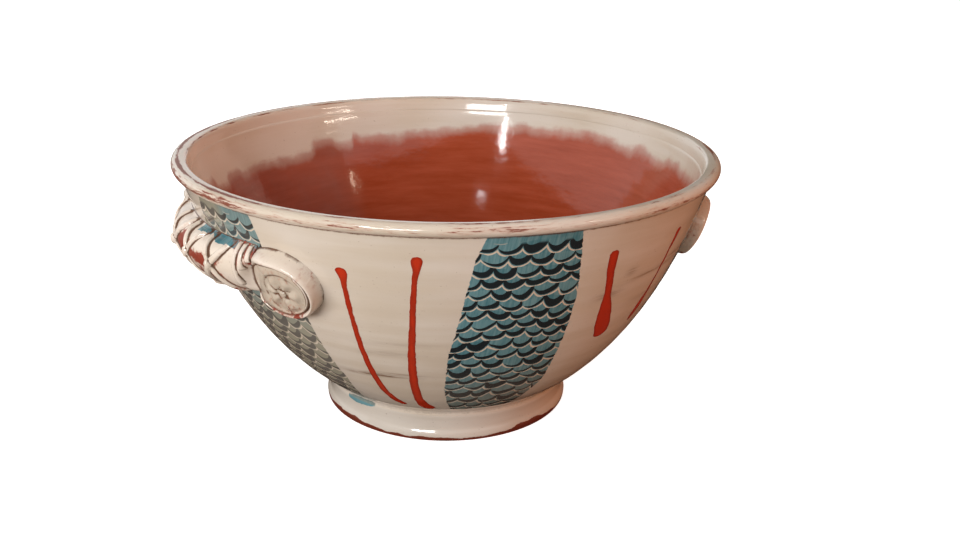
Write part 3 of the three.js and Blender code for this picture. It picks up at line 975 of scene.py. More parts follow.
    def pad_skin(self, end: End) -> Skin:
        """The pad inside the scroll: smooth towards the neck, with a stamped rosette in its middle.

        Args:
            end: The end of the handle that it stands at.

        Returns:
            Its skin, flat.
        """
        angle, spread = np.meshgrid(np.arange(0, 360, 3.0), np.linspace(1, 0.015, 64), indexing="xy")
        wrapped = (angle - self.coil_start) % 360 + self.coil_start - 360
        in_coil = (wrapped > self.coil_start - self.coil_turn).astype(float)
        soft = ease(wrapped, self.coil_start - self.coil_turn - 8, self.coil_start - self.coil_turn + 24)
        soft = soft * (1 - ease(wrapped, self.coil_start - 22, self.coil_start + 6)) * in_coil
        inset = (self.coil_width * self.coil_size(wrapped) - 1.6) * soft - 0.9 * (1 - soft)
        edge = self.on_scroll(angle, inset, np.zeros_like(angle), end)
        middle = np.array([end.value * (self.scroll_middle + 3.6), self.scroll_centre - 2.2, 0])
        place = middle + (edge - middle) * spread[..., None]
        fall = (1 - soft) * 0.95 * spread**2.8 + soft * 0.42 * spread**8
        crown = self.pad_proud * (1 - fall)
        reach = np.hypot(place[..., 0] - middle[0], place[..., 1] - middle[1])
        stamp = -self.stamp_depth * (1 - ease(reach, self.stamp_radius - 0.7, self.stamp_radius + 0.7))
        petal = self.petal_height * np.cos(np.radians(angle) * self.petals / 2 + 0.4) ** 2
        stamp += petal * ease(reach, 3.0, 4.8) * (1 - ease(reach, 8.0, 11.0))
        stamp += self.button_height * (1 - ease(reach, 1.3, 2.5))
        uneven = 0.25 * wander(place[..., :2].reshape(-1, 2), 11, 9).reshape(angle.shape)
        place[..., 2] = crown + stamp + uneven - self.set_in
        skirt = place[:1].copy()
        skirt[..., 2] = -1.5
        return Skin(np.concatenate([skirt, place]))

    def pieces(self) -> list["HandlePiece"]:
        """Works out all pieces of the handle, and how dark its hollows are: gathered glaze and painted shade.

        Returns:
            The pieces, flat.
        """
        turns = np.linspace(0.0, math.pi, 110)
        made = [HandlePiece("handle_roll", None, self.roll_skin(), "handle_glaze")]
        for layer, ribbons, below in (("under", self.under, ()), ("over", self.over, self.under)):
            for number, ribbon in enumerate(ribbons, 1):
                skin = self.drape(ribbon, below, turns)
                made.append(HandlePiece(f"{layer}_ribbon_{number}", None, skin, "ribbon_glaze"))
        for end in End:
            for number in range(self.bindings):
                skin = self.binding_skin(end, number)
                made.append(HandlePiece(f"binding_{number + 1}", end, skin, "binding_glaze"))
            made.append(HandlePiece("scroll", end, self.scroll_skin(end), "scroll_glaze"))
            made.append(HandlePiece("pad", end, self.pad_skin(end), "pad_glaze"))
        along, up = np.meshgrid(np.linspace(-104, 104, 70), np.linspace(-30, 40, 30), indexing="ij")
        wall = Skin(np.stack([along, up, 0 * up], axis=-1))
        for piece, hollow in zip(made, darken_hollows([piece.skin for piece in made], wall)):
            piece.skin.marks = {"hollow": hollow, "worn": self.worn(piece)}
        return made

    def worn(self, piece: "HandlePiece") -> Array:
        """Wears a piece: the roll between its ribbons low down, and the scrolls and pads low down.

        Args:
            piece: The piece, flat.

        Returns:
            How far the slip is worn through to the clay.
        """
        along, up, _ = piece.skin.points.T
        drift = 0.09 * wander(piece.skin.points[:, :2], 13, 21)
        if piece.name == "handle_roll":
            # The bare clay reaches higher in two places.
            rise = 5 * bell(along, 2, 9) + 3 * bell(along, -26, 6)
            between = (0.56 + 2.2 * drift) * (1 - ease(up - rise, 13, 17)) * (1 - ease(np.abs(along), 34, 42))
            return 0.12 + drift + np.maximum(between, 0.3 * ease(np.abs(along), 42, 45) * ease(up, 8, 15))
        if piece.slot in ("scroll_glaze", "pad_glaze"):
            return 0.2 + drift + 0.3 * (1 - ease(up, -16, -8))
        return 0.14 + drift + 0.16 * (1 - ease(up, -10, 2))

    def dress(self, glazes: "GlazeBench") -> None:
        """Builds both handles on the wall and glazes them.

        Args:
            glazes: The finishes to choose from.
        """
        made = self.pieces()
        for side in Side:
            for piece in made:
                skin = Skin(self.on_wall(piece.skin.rings, side))
                skin.marks = self.decoration.blank(skin.points) | piece.skin.marks
                if piece.end is None:
                    skin.marks["band"] = self.smeared_band(piece.skin.points, skin.points)
                name = piece.full_name(side)
                # The pads take the darker copy of the slip, as painted shade; the other pieces take the
                # lighter one.
                finish = glazes.pad if piece.slot == "pad_glaze" else glazes.handle
                build_piece(name, skin, [name], finish)

    def smeared_band(self, flat: Array, points: Array) -> Array:
        """Lets the wall's bands run a little way onto the roll and its ribbons.

        Args:
            flat: The piece's flat places.
            points: The same places on the wall.

        Returns:
            The band mark of each place.
        """
        band = self.decoration.mark(points)["band"]
        brushed = np.where(flat[:, 1] > 12, 5.2 - flat[:, 2], -9) + 1.8 * wander(flat[:, :2], 9, 4)
        band[:, 1] = self.decoration.band_top
        band[:, 2] = np.minimum(band[:, 2], brushed)
        return band


@dataclass
class HandlePiece:
    """One piece of a handle, worked out flat."""

    name: str
    end: End | None
    skin: Skin
    slot: str

    def full_name(self, side: Side) -> str:
        """The name of this piece's solid on one of the handles."""
        place = f"{self.end.place(side)}_" if self.end else ""
        return f"{side.name.lower()}_{place}{self.name}"


def darken_hollows(skins: Sequence[Skin], wall: Skin) -> list[Array]:
    """Finds the hollows between pieces, which it darkens as gathered glaze and as painted shade.

    Args:
        skins: The pieces that lie on each other.
        wall: The face that they lie on.

    Returns:
        One array per piece: 0 on open faces, up to 1 deep in a hollow.
    """
    corners, faces = [], []
    for skin in [*skins, wall]:
        first = sum(len(c) for c in corners)
        corners.append(skin.points)
        faces += [[first + k for k in face] for face in skin.faces()[: -2 if skin is wall else None]]
    tree = BVHTree.FromPolygons(np.vstack(corners).tolist(), faces)
    maker = np.random.default_rng(17)
    ways = maker.normal(size=(16, 3))
    ways /= np.linalg.norm(ways, axis=1)[:, None]
    # The share of short rays that meet a nearby face darkens a point: painted shade, in the brown of gathered
    # glaze.
    reach, strength = 3.2, 3.0
    found = []
    for skin in skins:
        values = []
        for point, normal in zip(skin.points, face_normals(skin)):
            start = Vector(point + 0.08 * normal)
            out = [Vector(way if way @ normal > 0 else -way) for way in ways]
            distances = [tree.ray_cast(start, way, reach)[3] for way in out]
            values.append(sum(1 - d / reach for d in distances if d is not None) / len(ways))
        found.append(np.clip(np.array(values) * strength, 0, 1))
    return found


def face_normals(skin: Skin) -> Array:
    """Measures which way a skin faces.

    Args:
        skin: The skin.

    Returns:
        The outward direction at each of its points.
    """
    mesh = bpy.data.meshes.new("measured")
    mesh.from_pydata(skin.points.tolist(), [], skin.faces())
    if signed_volume(mesh) < 0:
        mesh.flip_normals()
    normals = np.empty(len(mesh.vertices) * 3)
    mesh.vertex_normals.foreach_get("vector", normals)
    bpy.data.meshes.remove(mesh)
    return normals.reshape(-1, 3)


# Finishes


def linear(colour: str) -> tuple[float, ...]:
    """Turns an sRGB hex colour into the linear one that shaders work in."""
    channels = [int(colour[i : i + 2], 16) / 255 for i in (1, 3, 5)]
    return (*(c / 12.92 if c <= 0.04045 else ((c + 0.055) / 1.055) ** 2.4 for c in channels), 1.0)


# The setting that an option written after a node's type stands for.
OPTIONS = {
    "Math": "operation", "VectorMath": "operation", "MapRange": "interpolation_type", "Mix": "data_type",
}


def add(
    tree: Tree, kind: str, links: dict | None = None, out: int | str = 0, **settings: object
) -> Socket | None:
    """Adds a shader node with its settings and links.

    Args:
        tree: The node tree.
        kind: The node's type, without the word that all of them start with, and perhaps a dot and an option.
        links: For each input, by name or number, a socket to link, an sRGB hex colour or another value.
        out: The output that is wanted.
        settings: Values of the node's other settings.

    Returns:
        That output, or None from a node that has none.
    """
    kind, _, option = kind.partition(".")
    node = tree.nodes.new(f"ShaderNode{kind}")
    if option:
        settings[OPTIONS[kind]] = option
    for key, value in settings.items():
        setattr(node, key, value)
    for key, value in (links or {}).items():
        if isinstance(value, Socket):
            tree.links.new(value, node.inputs[key])
        else:
            node.inputs[key].default_value = linear(value) if isinstance(value, str) else value
    return node.outputs[out] if node.outputs else None


@dataclass(frozen=True)
class Grain:
    """An unevenness: the size of its spots in millimetres, and how it breaks up into finer ones."""

    size: float
    detail: float
    roughness: float = 0.5
    stretch: float = 1.0  # how much longer the spots are along the turning of the pot than up it


# What is uneven in the slip, the paints and the glaze.
GRAINS = {
    "streaks": Grain(111.1, 5.0, 0.6, 14),  # left by a wide brush that was held to the turning pot
    "clouds": Grain(71.43, 2.0),  # where the slip lies thicker and thinner
    # Iron specks in the slip are down to a tenth of a millimetre wide: these are the larger ones.
    "specks": Grain(1.111, 1.0),
    "smudges": Grain(16.67, 4.0, 0.7, 14),
    "hand": Grain(20.83, 1.0),  # how far the hand that draws the scales keeps a line
    "band_edge": Grain(3.125, 3.0),
    "stripe_edge": Grain(5.263, 2.0),
    "dabs": Grain(14.29, 3.0, 0.55),  # a narrow brush, where the slip ends inside
    "bristles": Grain(38.46, 5.0, 0.65, 9),
    "ripple": Grain(15.38, 2.0),  # how the glaze ran
    "grit": Grain(2.381, 2.0),
}


@dataclass(frozen=True)
class ScalePaint:
    """Copper and cobalt slip, brushed on in a band, with a common scale pattern scratched and inked into it.

    The scratched outlines show the pale slip below, and each scale holds a dark crescent along its round end.
    """

    teal: str = "#42707A"
    pale_teal: str = "#6A8F95"
    # Grey for the thinned band, and for the painted reflection and shade by the left handle.
    grey: str = "#7D7C6A"
    ink: str = "#1B2428"
    scratched: str = "#C9BBA9"
    pitch: float = 11.4  # from scale to scale, in millimetres, as are the sizes below
    radius: float = 6.7
    line: float = 0.45
    hand: float = 4.4  # how far the hand strays from the regular pattern
    bristle_width: float = 1.25
    bristle_length: float = 20.0
    top: float = 146.0  # height up to which the scales are drawn
    shows_through: float = 0.22  # how much of the slip below shows through the band, in step with its fade and its painted grey


@dataclass(frozen=True)
class SlipGlaze:
    """Red earthenware under cream slip and a clear lead-free glaze, fired glossy.

    The glaze gives a hard, wet shine and small sharp highlights. It runs thin over edges, where the red clay
    shows through, and gathers brown in hollows, where the brown also paints their shade.
    """

    name: str
    cream: str = "#CEC4B8"
    warm_cream: str = "#C5B8A7"
    clay: str = "#662B1B"
    blush: str = "#AD7B69"
    terracotta: str = "#983F22"
    pale_terracotta: str = "#AA4F35"
    # The brown of hollows: glaze that gathers there, and painted shade.
    pool_and_shade_brown: str = "#57351F"
    red_slip: str = "#B53219"
    thin_red_slip: str = "#932917"
    smudge: str = "#7B6351"
    veil: str = "#857470"
    wear_grain: float = 2.4  # size of the worn spots, in millimetres
    gloss: float = 0.07  # roughness of the fired glaze
    bare_roughness: float = 0.4  # roughness of the clay that shows through
    index: float = 1.5  # how strongly the glaze bends light, as glass does
    relief: float = 0.4  # depth of the ripples, in millimetres
    scales: ScalePaint = ScalePaint()

    def material(self) -> bpy.types.Material:
        """Builds the glaze's shader, layer by layer as the potter did.

        Returns:
            The material.
        """
        made = bpy.data.materials.new(self.name)
        made.use_nodes = True
        made.node_tree.nodes.clear()
        shader = GlazeShader(self, made.node_tree)
        shader.lay_slip()
        shader.paint_band()
        shader.paint_stripes()
        shader.leave_inside_bare()
        shader.pool_shade_and_wear()
        shader.fire()
        return made


@dataclass
class GlazeShader:
    """The shader of a glaze while it is built."""

    glaze: SlipGlaze
    tree: Tree

    def __post_init__(self) -> None:
        """Looks up what is marked on the bowl, and adds what is uneven."""
        tree = self.tree
        names = ("stroke", "smudge", "faded", "inside", "veil", "worn", "hollow")
        self.marks = {name: add(tree, "Attribute", out="Fac", attribute_name=name) for name in names}
        self.band = add(tree, "Attribute", out="Vector", attribute_name="band")
        place = add(tree, "TexCoord", out="Object")
        self.uneven = {}
        for name, grain in GRAINS.items():
            drawn_out = add(tree, "Mapping", {"Vector": place, "Scale": (1, 1, grain.stretch)})
            spots = {"Vector": drawn_out, "Scale": 1 / (MM * grain.size), "Detail": grain.detail}
            self.uneven[name] = add(tree, "TexNoise", spots | {"Roughness": grain.roughness})

    def cover(self, share: Socket, paint: str | Socket) -> None:
        """Lays a paint over what is there, as thickly as the share says: sRGB hex or from a node."""
        self.colour = add(self.tree, "Mix.RGBA", {0: share, 6: self.colour, 7: paint}, 2)

    def lay_slip(self) -> None:
        """Cream slip, brushed on while the pot turned: streaky, with iron specks and smudges."""
        tree, glaze, uneven = self.tree, self.glaze, self.uneven
        both = add(tree, "Math.MULTIPLY_ADD", {0: uneven["streaks"], 1: 0.7, 2: uneven["clouds"]})
        warm = add(tree, "MapRange.SMOOTHSTEP", {0: both, 1: 0.68, 2: 1.08})
        self.colour = add(tree, "Mix.RGBA", {0: warm, 6: glaze.cream, 7: glaze.warm_cream}, 2)
        self.cover(add(tree, "MapRange", {0: uneven["specks"], 1: 0.735, 2: 0.79, 4: 0.45}), glaze.smudge)
        broken = add(tree, "MapRange", {0: uneven["smudges"], 1: 0.3, 2: 0.56, 4: 0.95})
        self.cover(add(tree, "Math.MULTIPLY", {0: self.marks["smudge"], 1: broken}), glaze.smudge)

    def scale_places(self) -> tuple[Socket, Socket]:
        """Finds the nearest scale of overlapping rows, each shifted by half a scale from the last.

        Returns:
            The place in millimetres from that scale's centre, and the scale's number.
        """
        tree, paint = self.tree, self.glaze.scales
        stray = self.uneven["hand"].node.outputs["Color"]
        off_centre = add(tree, "VectorMath.SUBTRACT", {0: stray, 1: (0.5, 0.5, 0.5)})
        drawn = add(tree, "VectorMath.MULTIPLY_ADD", {0: off_centre, 1: (2 * paint.hand,) * 3, 2: self.band})
        across, up = (add(tree, "SeparateXYZ", {0: drawn}, k) for k in (0, 1))
        rows_up = add(tree, "Math.DIVIDE", {0: up, 1: paint.radius})
        row = add(tree, "Math.CEIL", {0: rows_up})
        odd = add(tree, "Math.MODULO", {0: row, 1: 2.0})
        scales_across = add(tree, "Math.DIVIDE", {0: across, 1: paint.pitch})
        turned = add(tree, "Math.MULTIPLY_ADD", {0: odd, 1: -0.5, 2: scales_across})
        number = add(tree, "Math.ROUND", {0: turned})
        off = add(tree, "Math.SUBTRACT", {0: turned, 1: number})
        below = add(tree, "Math.SUBTRACT", {0: row, 1: rows_up})
        cell = add(tree, "CombineXYZ", {0: off, 1: below})
        spot = add(tree, "VectorMath.MULTIPLY", {0: cell, 1: (paint.pitch, paint.radius, 0)})
        return spot, add(tree, "CombineXYZ", {0: number, 1: row})

    def draw_scales(self) -> tuple[Socket, Socket, Socket]:
        """Draws the scales one by one.

        Returns:
            The inked crescents, the scratched outlines, and a chance from 0 to 1 for each scale.
        """
        tree, paint = self.tree, self.glaze.scales
        spot, number = self.scale_places()
        chance = add(tree, "TexWhiteNoise", {"Vector": number})
        reach = add(tree, "VectorMath.LENGTH", {0: spot}, "Value")
        # The crescent lies between the scale's round end and a second circle, higher and to the side.
        higher = add(tree, "VectorMath.ADD", {0: spot, 1: (1.1, 0.34 * paint.radius, 0)})
        second = add(tree, "VectorMath.LENGTH", {0: higher}, "Value")
        least = add(tree, "MapRange", {0: chance, 3: 0.62 * paint.radius, 4: 1.02 * paint.radius})
        past = add(tree, "Math.SUBTRACT", {0: second, 1: least})
        short = add(tree, "Math.SUBTRACT", {0: paint.radius - 1.6 * paint.line, 1: reach})
        within = add(tree, "Math.MINIMUM", {0: past, 1: short})
        crescent = add(tree, "MapRange.SMOOTHSTEP", {0: within, 1: -0.12, 2: 0.18})
        apart = add(tree, "Math.SUBTRACT", {0: reach, 1: paint.radius})
        beside = add(tree, "Math.ABSOLUTE", {0: apart})
        line = {0: beside, 1: 0.5 * paint.line, 2: 1.2 * paint.line, 3: 1.0, 4: 0.0}
        return crescent, add(tree, "MapRange.SMOOTHSTEP", line), chance

    def paint_band(self) -> None:
        """The teal band: streaky from the brush, scratched with scales, and thinner towards the foot."""
        tree, paint, faded = self.tree, self.glaze.scales, self.marks["faded"]
        crescent, outline, chance = self.draw_scales()
        fine = (1 / paint.bristle_width, 1 / paint.bristle_length, 0)
        brush = add(tree, "Mapping", {"Vector": self.band, "Scale": fine})
        bristles = add(tree, "TexNoise", {"Vector": brush, "Scale": 1.0, "Detail": 4.0, "Roughness": 0.6})
        load = add(tree, "Math.MULTIPLY_ADD", {0: chance, 1: 0.2, 2: bristles})
        thin = add(tree, "MapRange", {0: load, 1: 0.42, 2: 0.8})
        ground = add(tree, "Mix.RGBA", {0: thin, 6: paint.teal, 7: paint.pale_teal}, 2)
        # The band thins to grey towards the foot; by the left handle the grey is painted reflection and
        # shade.
        ground = add(tree, "Mix.RGBA", {0: faded, 6: ground, 7: paint.grey}, 2)
        inked = add(tree, "Mix.RGBA", {0: crescent, 6: ground, 7: paint.ink}, 2)
        lined = add(tree, "Mix.RGBA", {0: outline, 6: inked, 7: paint.scratched}, 2)
        # The top few millimetres are left plain, and so is what ran over the handle's joint.
        height, edge = (add(tree, "SeparateXYZ", {0: self.band}, k) for k in (1, 2))
        drawn = add(tree, "MapRange", {0: height, 1: paint.top + 1.5, 2: paint.top})
        figured = add(tree, "Mix.RGBA", {0: drawn, 6: ground, 7: lined}, 2)
        brushed = add(tree, "Math.MULTIPLY_ADD", {0: self.uneven["band_edge"], 1: 1.8, 2: edge})
        covered = add(tree, "MapRange.SMOOTHSTEP", {0: brushed, 1: 0.7, 2: 1.1})
        shows_through = add(tree, "Math.MULTIPLY", {0: faded, 1: paint.shows_through})
        self.cover(covered, add(tree, "Mix.RGBA", {0: shows_through, 6: figured, 7: self.colour}, 2))
        scratched = add(tree, "Math.MULTIPLY", {0: outline, 1: drawn})
        self.scratch = add(tree, "Math.MULTIPLY", {0: scratched, 1: covered})

    def paint_stripes(self) -> None:
        """Stripes of red slip, thick and bright in the middle."""
        tree, glaze = self.tree, self.glaze
        edge = add(tree, "Math.ADD", {0: self.uneven["stripe_edge"], 1: self.marks["stroke"]})
        self.stripe = add(tree, "MapRange.SMOOTHSTEP", {0: edge, 1: 0.65, 2: 0.35})
        thick = add(tree, "MapRange", {0: edge, 1: 0.3, 2: -1.2})
        red = add(tree, "Mix.RGBA", {0: thick, 6: glaze.thin_red_slip, 7: glaze.red_slip}, 2)
        self.cover(self.stripe, red)

    def leave_inside_bare(self) -> None:
        """Inside, the slip ends in brushed dabs, and below them the glaze lies on the red clay itself."""
        tree, glaze, dabs, bristles = self.tree, self.glaze, self.uneven["dabs"], self.uneven["bristles"]
        ragged = add(tree, "Math.MULTIPLY_ADD", {0: dabs, 1: 9.0, 2: self.marks["inside"]})
        edge = add(tree, "Math.MULTIPLY_ADD", {0: bristles, 1: 4.0, 2: ragged})
        bare = add(tree, "MapRange.SMOOTHSTEP", {0: edge, 1: 4.6, 2: 9.4})
        shade = add(tree, "MapRange", {0: bristles, 1: 0.3, 2: 0.72})
        red = add(tree, "Mix.RGBA", {0: shade, 6: glaze.terracotta, 7: glaze.pale_terracotta}, 2)
        washed = add(tree, "MapRange", {0: dabs, 1: 0.3, 2: 0.7, 3: 0.2, 4: 0.3})
        veil = add(tree, "Math.MULTIPLY", {0: washed, 1: self.marks["veil"]})
        red = add(tree, "Mix.RGBA", {0: veil, 6: red, 7: glaze.veil}, 2)
        thin = add(tree, "MapRange.SMOOTHSTEP", {0: edge, 1: 15.0, 2: 8.0, 4: 0.38})
        self.cover(bare, add(tree, "Mix.RGBA", {0: thin, 6: red, 7: glaze.cream}, 2))

    def pool_shade_and_wear(self) -> None:
        """Hollows go brown as gathered glaze and painted shade; where the slip is thin it blushes, then shows
        the clay.
        """
        tree, glaze, marks = self.tree, self.glaze, self.marks
        place = add(tree, "Attribute", out="Vector", attribute_name="grain")
        fine = {"Vector": place, "Scale": 1 / glaze.wear_grain, "Detail": 5.0, "Roughness": 0.62}
        spots = add(tree, "TexNoise", fine)
        # Painted shade in hollows, in the brown of the glaze that gathers there.
        gathered_and_shaded = add(tree, "Math.MULTIPLY_ADD", {0: spots, 1: 0.5, 2: marks["hollow"]})
        self.cover(add(tree, "MapRange.SMOOTHSTEP", {0: gathered_and_shaded, 1: 0.56, 2: 0.98, 4: 0.92}), glaze.pool_and_shade_brown)
        thin = add(tree, "Math.ADD", {0: spots, 1: marks["worn"]})
        self.cover(add(tree, "MapRange.SMOOTHSTEP", {0: thin, 1: 0.7, 2: 1.0, 4: 0.6}), glaze.blush)
        self.worn = add(tree, "MapRange.SMOOTHSTEP", {0: thin, 1: 0.9, 2: 0.98})
        self.cover(self.worn, glaze.clay)

    def fire(self) -> None:
        """The glossy glaze over it all, which lies in soft ripples over stripes, scratches and worn spots."""
        tree, glaze, grit = self.tree, self.glaze, self.uneven["grit"]
        height = add(tree, "Math.MULTIPLY_ADD", {0: grit, 1: 0.12, 2: self.uneven["ripple"]})
        for layer, rise in ((self.stripe, 0.9), (self.scratch, -0.5), (self.worn, -0.35)):
            height = add(tree, "Math.MULTIPLY_ADD", {0: layer, 1: rise, 2: height})
        relief = add(tree, "Bump", {"Strength": 0.5, "Distance": MM * glaze.relief, "Height": height})
        dull = add(tree, "MapRange", {0: self.worn, 3: glaze.gloss, 4: glaze.bare_roughness})
        roughness = add(tree, "Math.MULTIPLY_ADD", {0: grit, 1: 0.05, 2: dull})
        surface = {"Base Color": self.colour, "Roughness": roughness, "IOR": glaze.index, "Normal": relief}
        add(tree, "OutputMaterial", {"Surface": add(tree, "BsdfPrincipled", surface)})


class GlazeBench:
    """The glazes of this bowl: one recipe, on parts that wear in spots of different size."""

    def __init__(self) -> None:
        """Mixes the glaze for each kind of part."""
        self.wall = SlipGlaze("slip_glaze_wall").material()
        # The foot takes a darker, greyer copy of the slip: painted shade under the bowl's overhang.
        self.foot = SlipGlaze("slip_glaze_foot_shaded", cream="#C2BAB0", warm_cream="#B9AFA3").material()
        self.rim = SlipGlaze("slip_glaze_rim", wear_grain=0.7, clay="#7D4838").material()
        # The handles take a lighter copy: partly thicker slip, partly painted light on the roll and its
        # ribbons.
        self.handle = SlipGlaze(
            "slip_glaze_handle", cream="#DACEC2", warm_cream="#D1C4B4", clay="#85392A", wear_grain=3.2
        ).material()
        # The pads take a darker copy of the slip: painted shade on their dished faces.
        self.pad = SlipGlaze(
            "slip_glaze_pad_shaded", cream="#BBAF9F", warm_cream="#AFA190", wear_grain=2.0
        ).material()


# Studio


@dataclass(frozen=True)
class Lamp:
    """A soft rectangular lamp that faces the bowl.

    Azimuth counts in degrees round the bowl from the camera's side, growing to the right.
    """

    name: str
    azimuth: float
    elevation: float
    distance: float
    size: tuple[float, float]
    power: float
    tint: str = "#FFFFFF"
    mirrored: bool = False  # whether the glaze shows it as a highlight

    def place(self, turned: float) -> None:
        """Puts the lamp in the scene.

        Args:
            turned: The camera's own azimuth in the bowl's frame, in degrees.
        """
        data = bpy.data.lights.new(self.name, "AREA")
        data.shape = "RECTANGLE"
        data.size, data.size_y = self.size
        data.energy = self.power
        data.color = linear(self.tint)[:3]
        lamp = bpy.data.objects.new(self.name, data)
        around, above = math.radians(self.azimuth + turned), math.radians(self.elevation)
        level = math.cos(above)
        away = Vector((math.sin(around) * level, -math.cos(around) * level, math.sin(above)))
        lamp.location = Vector((0, 0, 0.09)) + away * self.distance
        lamp.rotation_euler = away.to_track_quat("Z", "Y").to_euler()
        lamp.visible_glossy = self.mirrored
        bpy.context.scene.collection.objects.link(lamp)


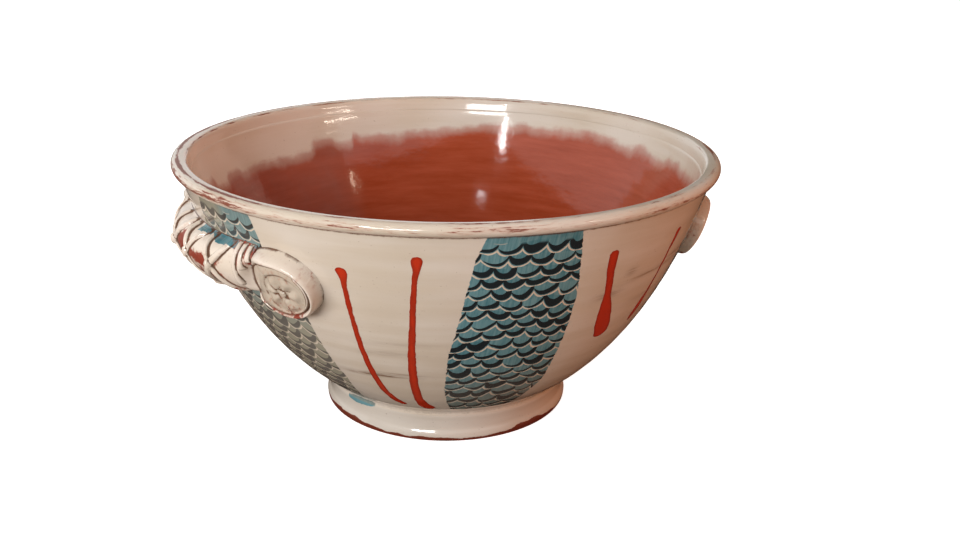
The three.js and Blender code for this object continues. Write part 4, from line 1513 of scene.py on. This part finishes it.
@dataclass
class Studio:
    """A pale floor, soft lamps, dark flags that the glaze mirrors, and the camera of the photograph."""

    camera_place: tuple[float, float, float] = (-0.2912, -0.5478, 0.3036)
    turned: float = -28.0
    yaw: float = 0.033
    pitch: float = -0.3484
    roll: float = 0.0182
    lens: float = 39.75
    lamps: tuple[Lamp, ...] = (
        Lamp("window", -52, 9, 1.7, (1.0, 0.5), 17, "#FFFCFA"),
        Lamp("ceiling", -20, 80, 1.6, (1.6, 1.6), 10, "#FFFCF8"),
        Lamp("room", 80, 10, 2.2, (1.2, 0.9), 20, "#FF8A2C"),
        Lamp("doorway", 165, 16, 1.9, (1.2, 0.9), 14, "#FFFCFA"),
        Lamp("pane", -21, 19.6, 1.4, (0.52, 0.2), 7.5, "#FFFEFD", mirrored=True),
        Lamp("pane_side", -32.6, 28.4, 1.4, (0.04, 0.15), 1.3, mirrored=True),
        Lamp("upper_pane", -24, 42.5, 1.4, (0.1, 0.012), 0.25, mirrored=True),
        Lamp("far_pane", 61, 21.6, 1.4, (0.4, 0.03), 1.2, "#FFF0DC", mirrored=True),
        Lamp("far_spot", 61.2, 33, 1.4, (0.03, 0.03), 0.12, "#FFE6C8", mirrored=True),
    )

    def set_camera(self) -> None:
        """Puts the camera where the photographer stood."""
        data = bpy.data.cameras.new("camera")
        data.lens, data.sensor_width = self.lens, 36.0
        data.clip_start, data.clip_end = 0.01, 50.0
        camera = bpy.data.objects.new("camera", data)
        level = math.cos(self.pitch)
        look = Vector((math.sin(self.yaw) * level, math.cos(self.yaw) * level, math.sin(self.pitch)))
        right = look.cross(Vector((0, 0, 1))).normalized()
        up = right.cross(look)
        tilted = math.cos(self.roll) * right + math.sin(self.roll) * up
        upright = -math.sin(self.roll) * right + math.cos(self.roll) * up
        axes = Matrix((tilted, upright, -look)).transposed()
        turn = Matrix.Rotation(math.radians(self.turned), 4, "Z")
        camera.matrix_world = Matrix.Translation(self.camera_place) @ turn @ axes.to_4x4()
        bpy.context.scene.collection.objects.link(camera)
        bpy.context.scene.camera = camera

    def set_world(self) -> None:
        """White where it is seen or mirrored, and otherwise the weak warm light of a wooden room."""
        world = bpy.data.worlds.new("studio")
        world.use_nodes = True
        tree = world.node_tree
        tree.nodes.clear()
        light = add(tree, "Mix.RGBA", {0: self.seen(tree), 6: "#62605E", 7: "#FFFFFF"}, 2)
        add(tree, "OutputWorld", {"Surface": add(tree, "Background", {"Color": light, "Strength": 1.0})})
        bpy.context.scene.world = world

    def seen(self, tree: Tree) -> Socket:
        """Tells where a thing is seen straight, in the glaze or through glass, and not as light on the bowl.

        Args:
            tree: The thing's node tree.

        Returns:
            1 where it is seen, and otherwise 0.
        """
        seen = add(tree, "LightPath", out="Is Camera Ray")
        for name in ("Is Glossy Ray", "Is Transmission Ray"):
            seen = add(tree, "Math.MAXIMUM", {0: seen, 1: add(tree, "LightPath", out=name)})
        return seen

    def sheet(
        self, name: str, corners: Sequence[tuple[float, float, float]], surface: dict
    ) -> bpy.types.Object:
        """Makes a flat sheet.

        Args:
            name: The sheet's name.
            corners: Its corners, anticlockwise as seen from the side that faces the bowl.
            surface: The inputs of its shader, each a value or a function that adds nodes for it.

        Returns:
            The sheet.
        """
        mesh = bpy.data.meshes.new(name)
        mesh.from_pydata(corners, [], [tuple(range(len(corners)))])
        made = bpy.data.materials.new(name)
        made.use_nodes = True
        tree = made.node_tree
        tree.nodes.clear()
        links = {key: value(tree) if callable(value) else value for key, value in surface.items()}
        add(tree, "OutputMaterial", {"Surface": add(tree, "BsdfPrincipled", links)})
        mesh.materials.append(made)
        sheet = bpy.data.objects.new(name, mesh)
        bpy.context.scene.collection.objects.link(sheet)
        return sheet

    def floor_colour(self, tree: Tree) -> Socket:
        """The floor's colour: white where it is seen, and wooden in the light that it casts."""
        return add(tree, "Mix.RGBA", {0: self.seen(tree), 6: "#A0948A", 7: "#F4F3F1"}, 2)

    def floor_glow(self, tree: Tree) -> Socket:
        """Makes up, where the floor is seen, for the light that it lacks: more of it far from the lamps.

        Args:
            tree: The floor's node tree.

        Returns:
            The strength of its glow.
        """
        away = add(tree, "VectorMath.LENGTH", {0: add(tree, "TexCoord", out="Object")}, "Value")
        glow = add(tree, "MapRange", {0: away, 1: 0.8, 2: 3.5, 3: 0.82, 4: 1.0})
        return add(tree, "Math.MULTIPLY", {0: self.seen(tree), 1: glow})

    def set_sheets(self) -> None:
        """Lays the floor and hangs dark flags for the glaze to mirror."""
        around = [2 * math.pi * k / 64 for k in range(64)]
        reach, far, right, high, low, hair = 9, 4, 2.6, 2.4, 1.3, 0.0005
        self.sheet("floor", [(reach * math.cos(a), reach * math.sin(a), 0) for a in around], {
            "Base Color": self.floor_colour,
            "Emission Color": "#FFFFFF",
            "Emission Strength": self.floor_glow,
            "Roughness": 0.9,
            "Specular IOR Level": 0.1,
        })
        corners = {
            "flag_above": [(-far, -far, high), (-far, far, high), (far, far, high), (far, -far, high)],
            "flag_beside": [(right, -far, 0), (right, far, 0), (right, far, high), (right, -far, high)],
            "flag_before": [(-far, -far, 0), (far, -far, 0), (far, -far, low), (-far, -far, low)],
            "flag_left": [(-far, 1, 0), (-far, -far, 0), (-far, -far, low), (-far, 1, low)],
            "flag_below": [(-far, -far, hair), (far, -far, hair), (far, far, hair), (-far, far, hair)],
        }
        for name, places in corners.items():
            flag = self.sheet(name, places, {"Base Color": "#4A382C", "Roughness": 0.9})
            flag.visible_camera = flag.visible_diffuse = flag.visible_shadow = False

    def set_up(self) -> None:
        """Sets up camera, lamps, world, floor and flags."""
        self.set_camera()
        for lamp in self.lamps:
            lamp.place(self.turned)
        self.set_world()
        self.set_sheets()
        bpy.context.scene.view_settings.view_transform = "Standard"


def main() -> None:
    """Sets up the studio, then builds and dresses the bowl and its handles."""
    logging.basicConfig(level=logging.INFO, format="%(name)s: %(message)s")
    Studio().set_up()
    glazes = GlazeBench()
    wall, decoration = WallShape(), Decoration()
    ThrownBowl(wall, decoration).dress(glazes)
    LugHandle(wall, decoration).dress(glazes)
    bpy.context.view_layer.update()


if __name__ == "__main__":
    main()
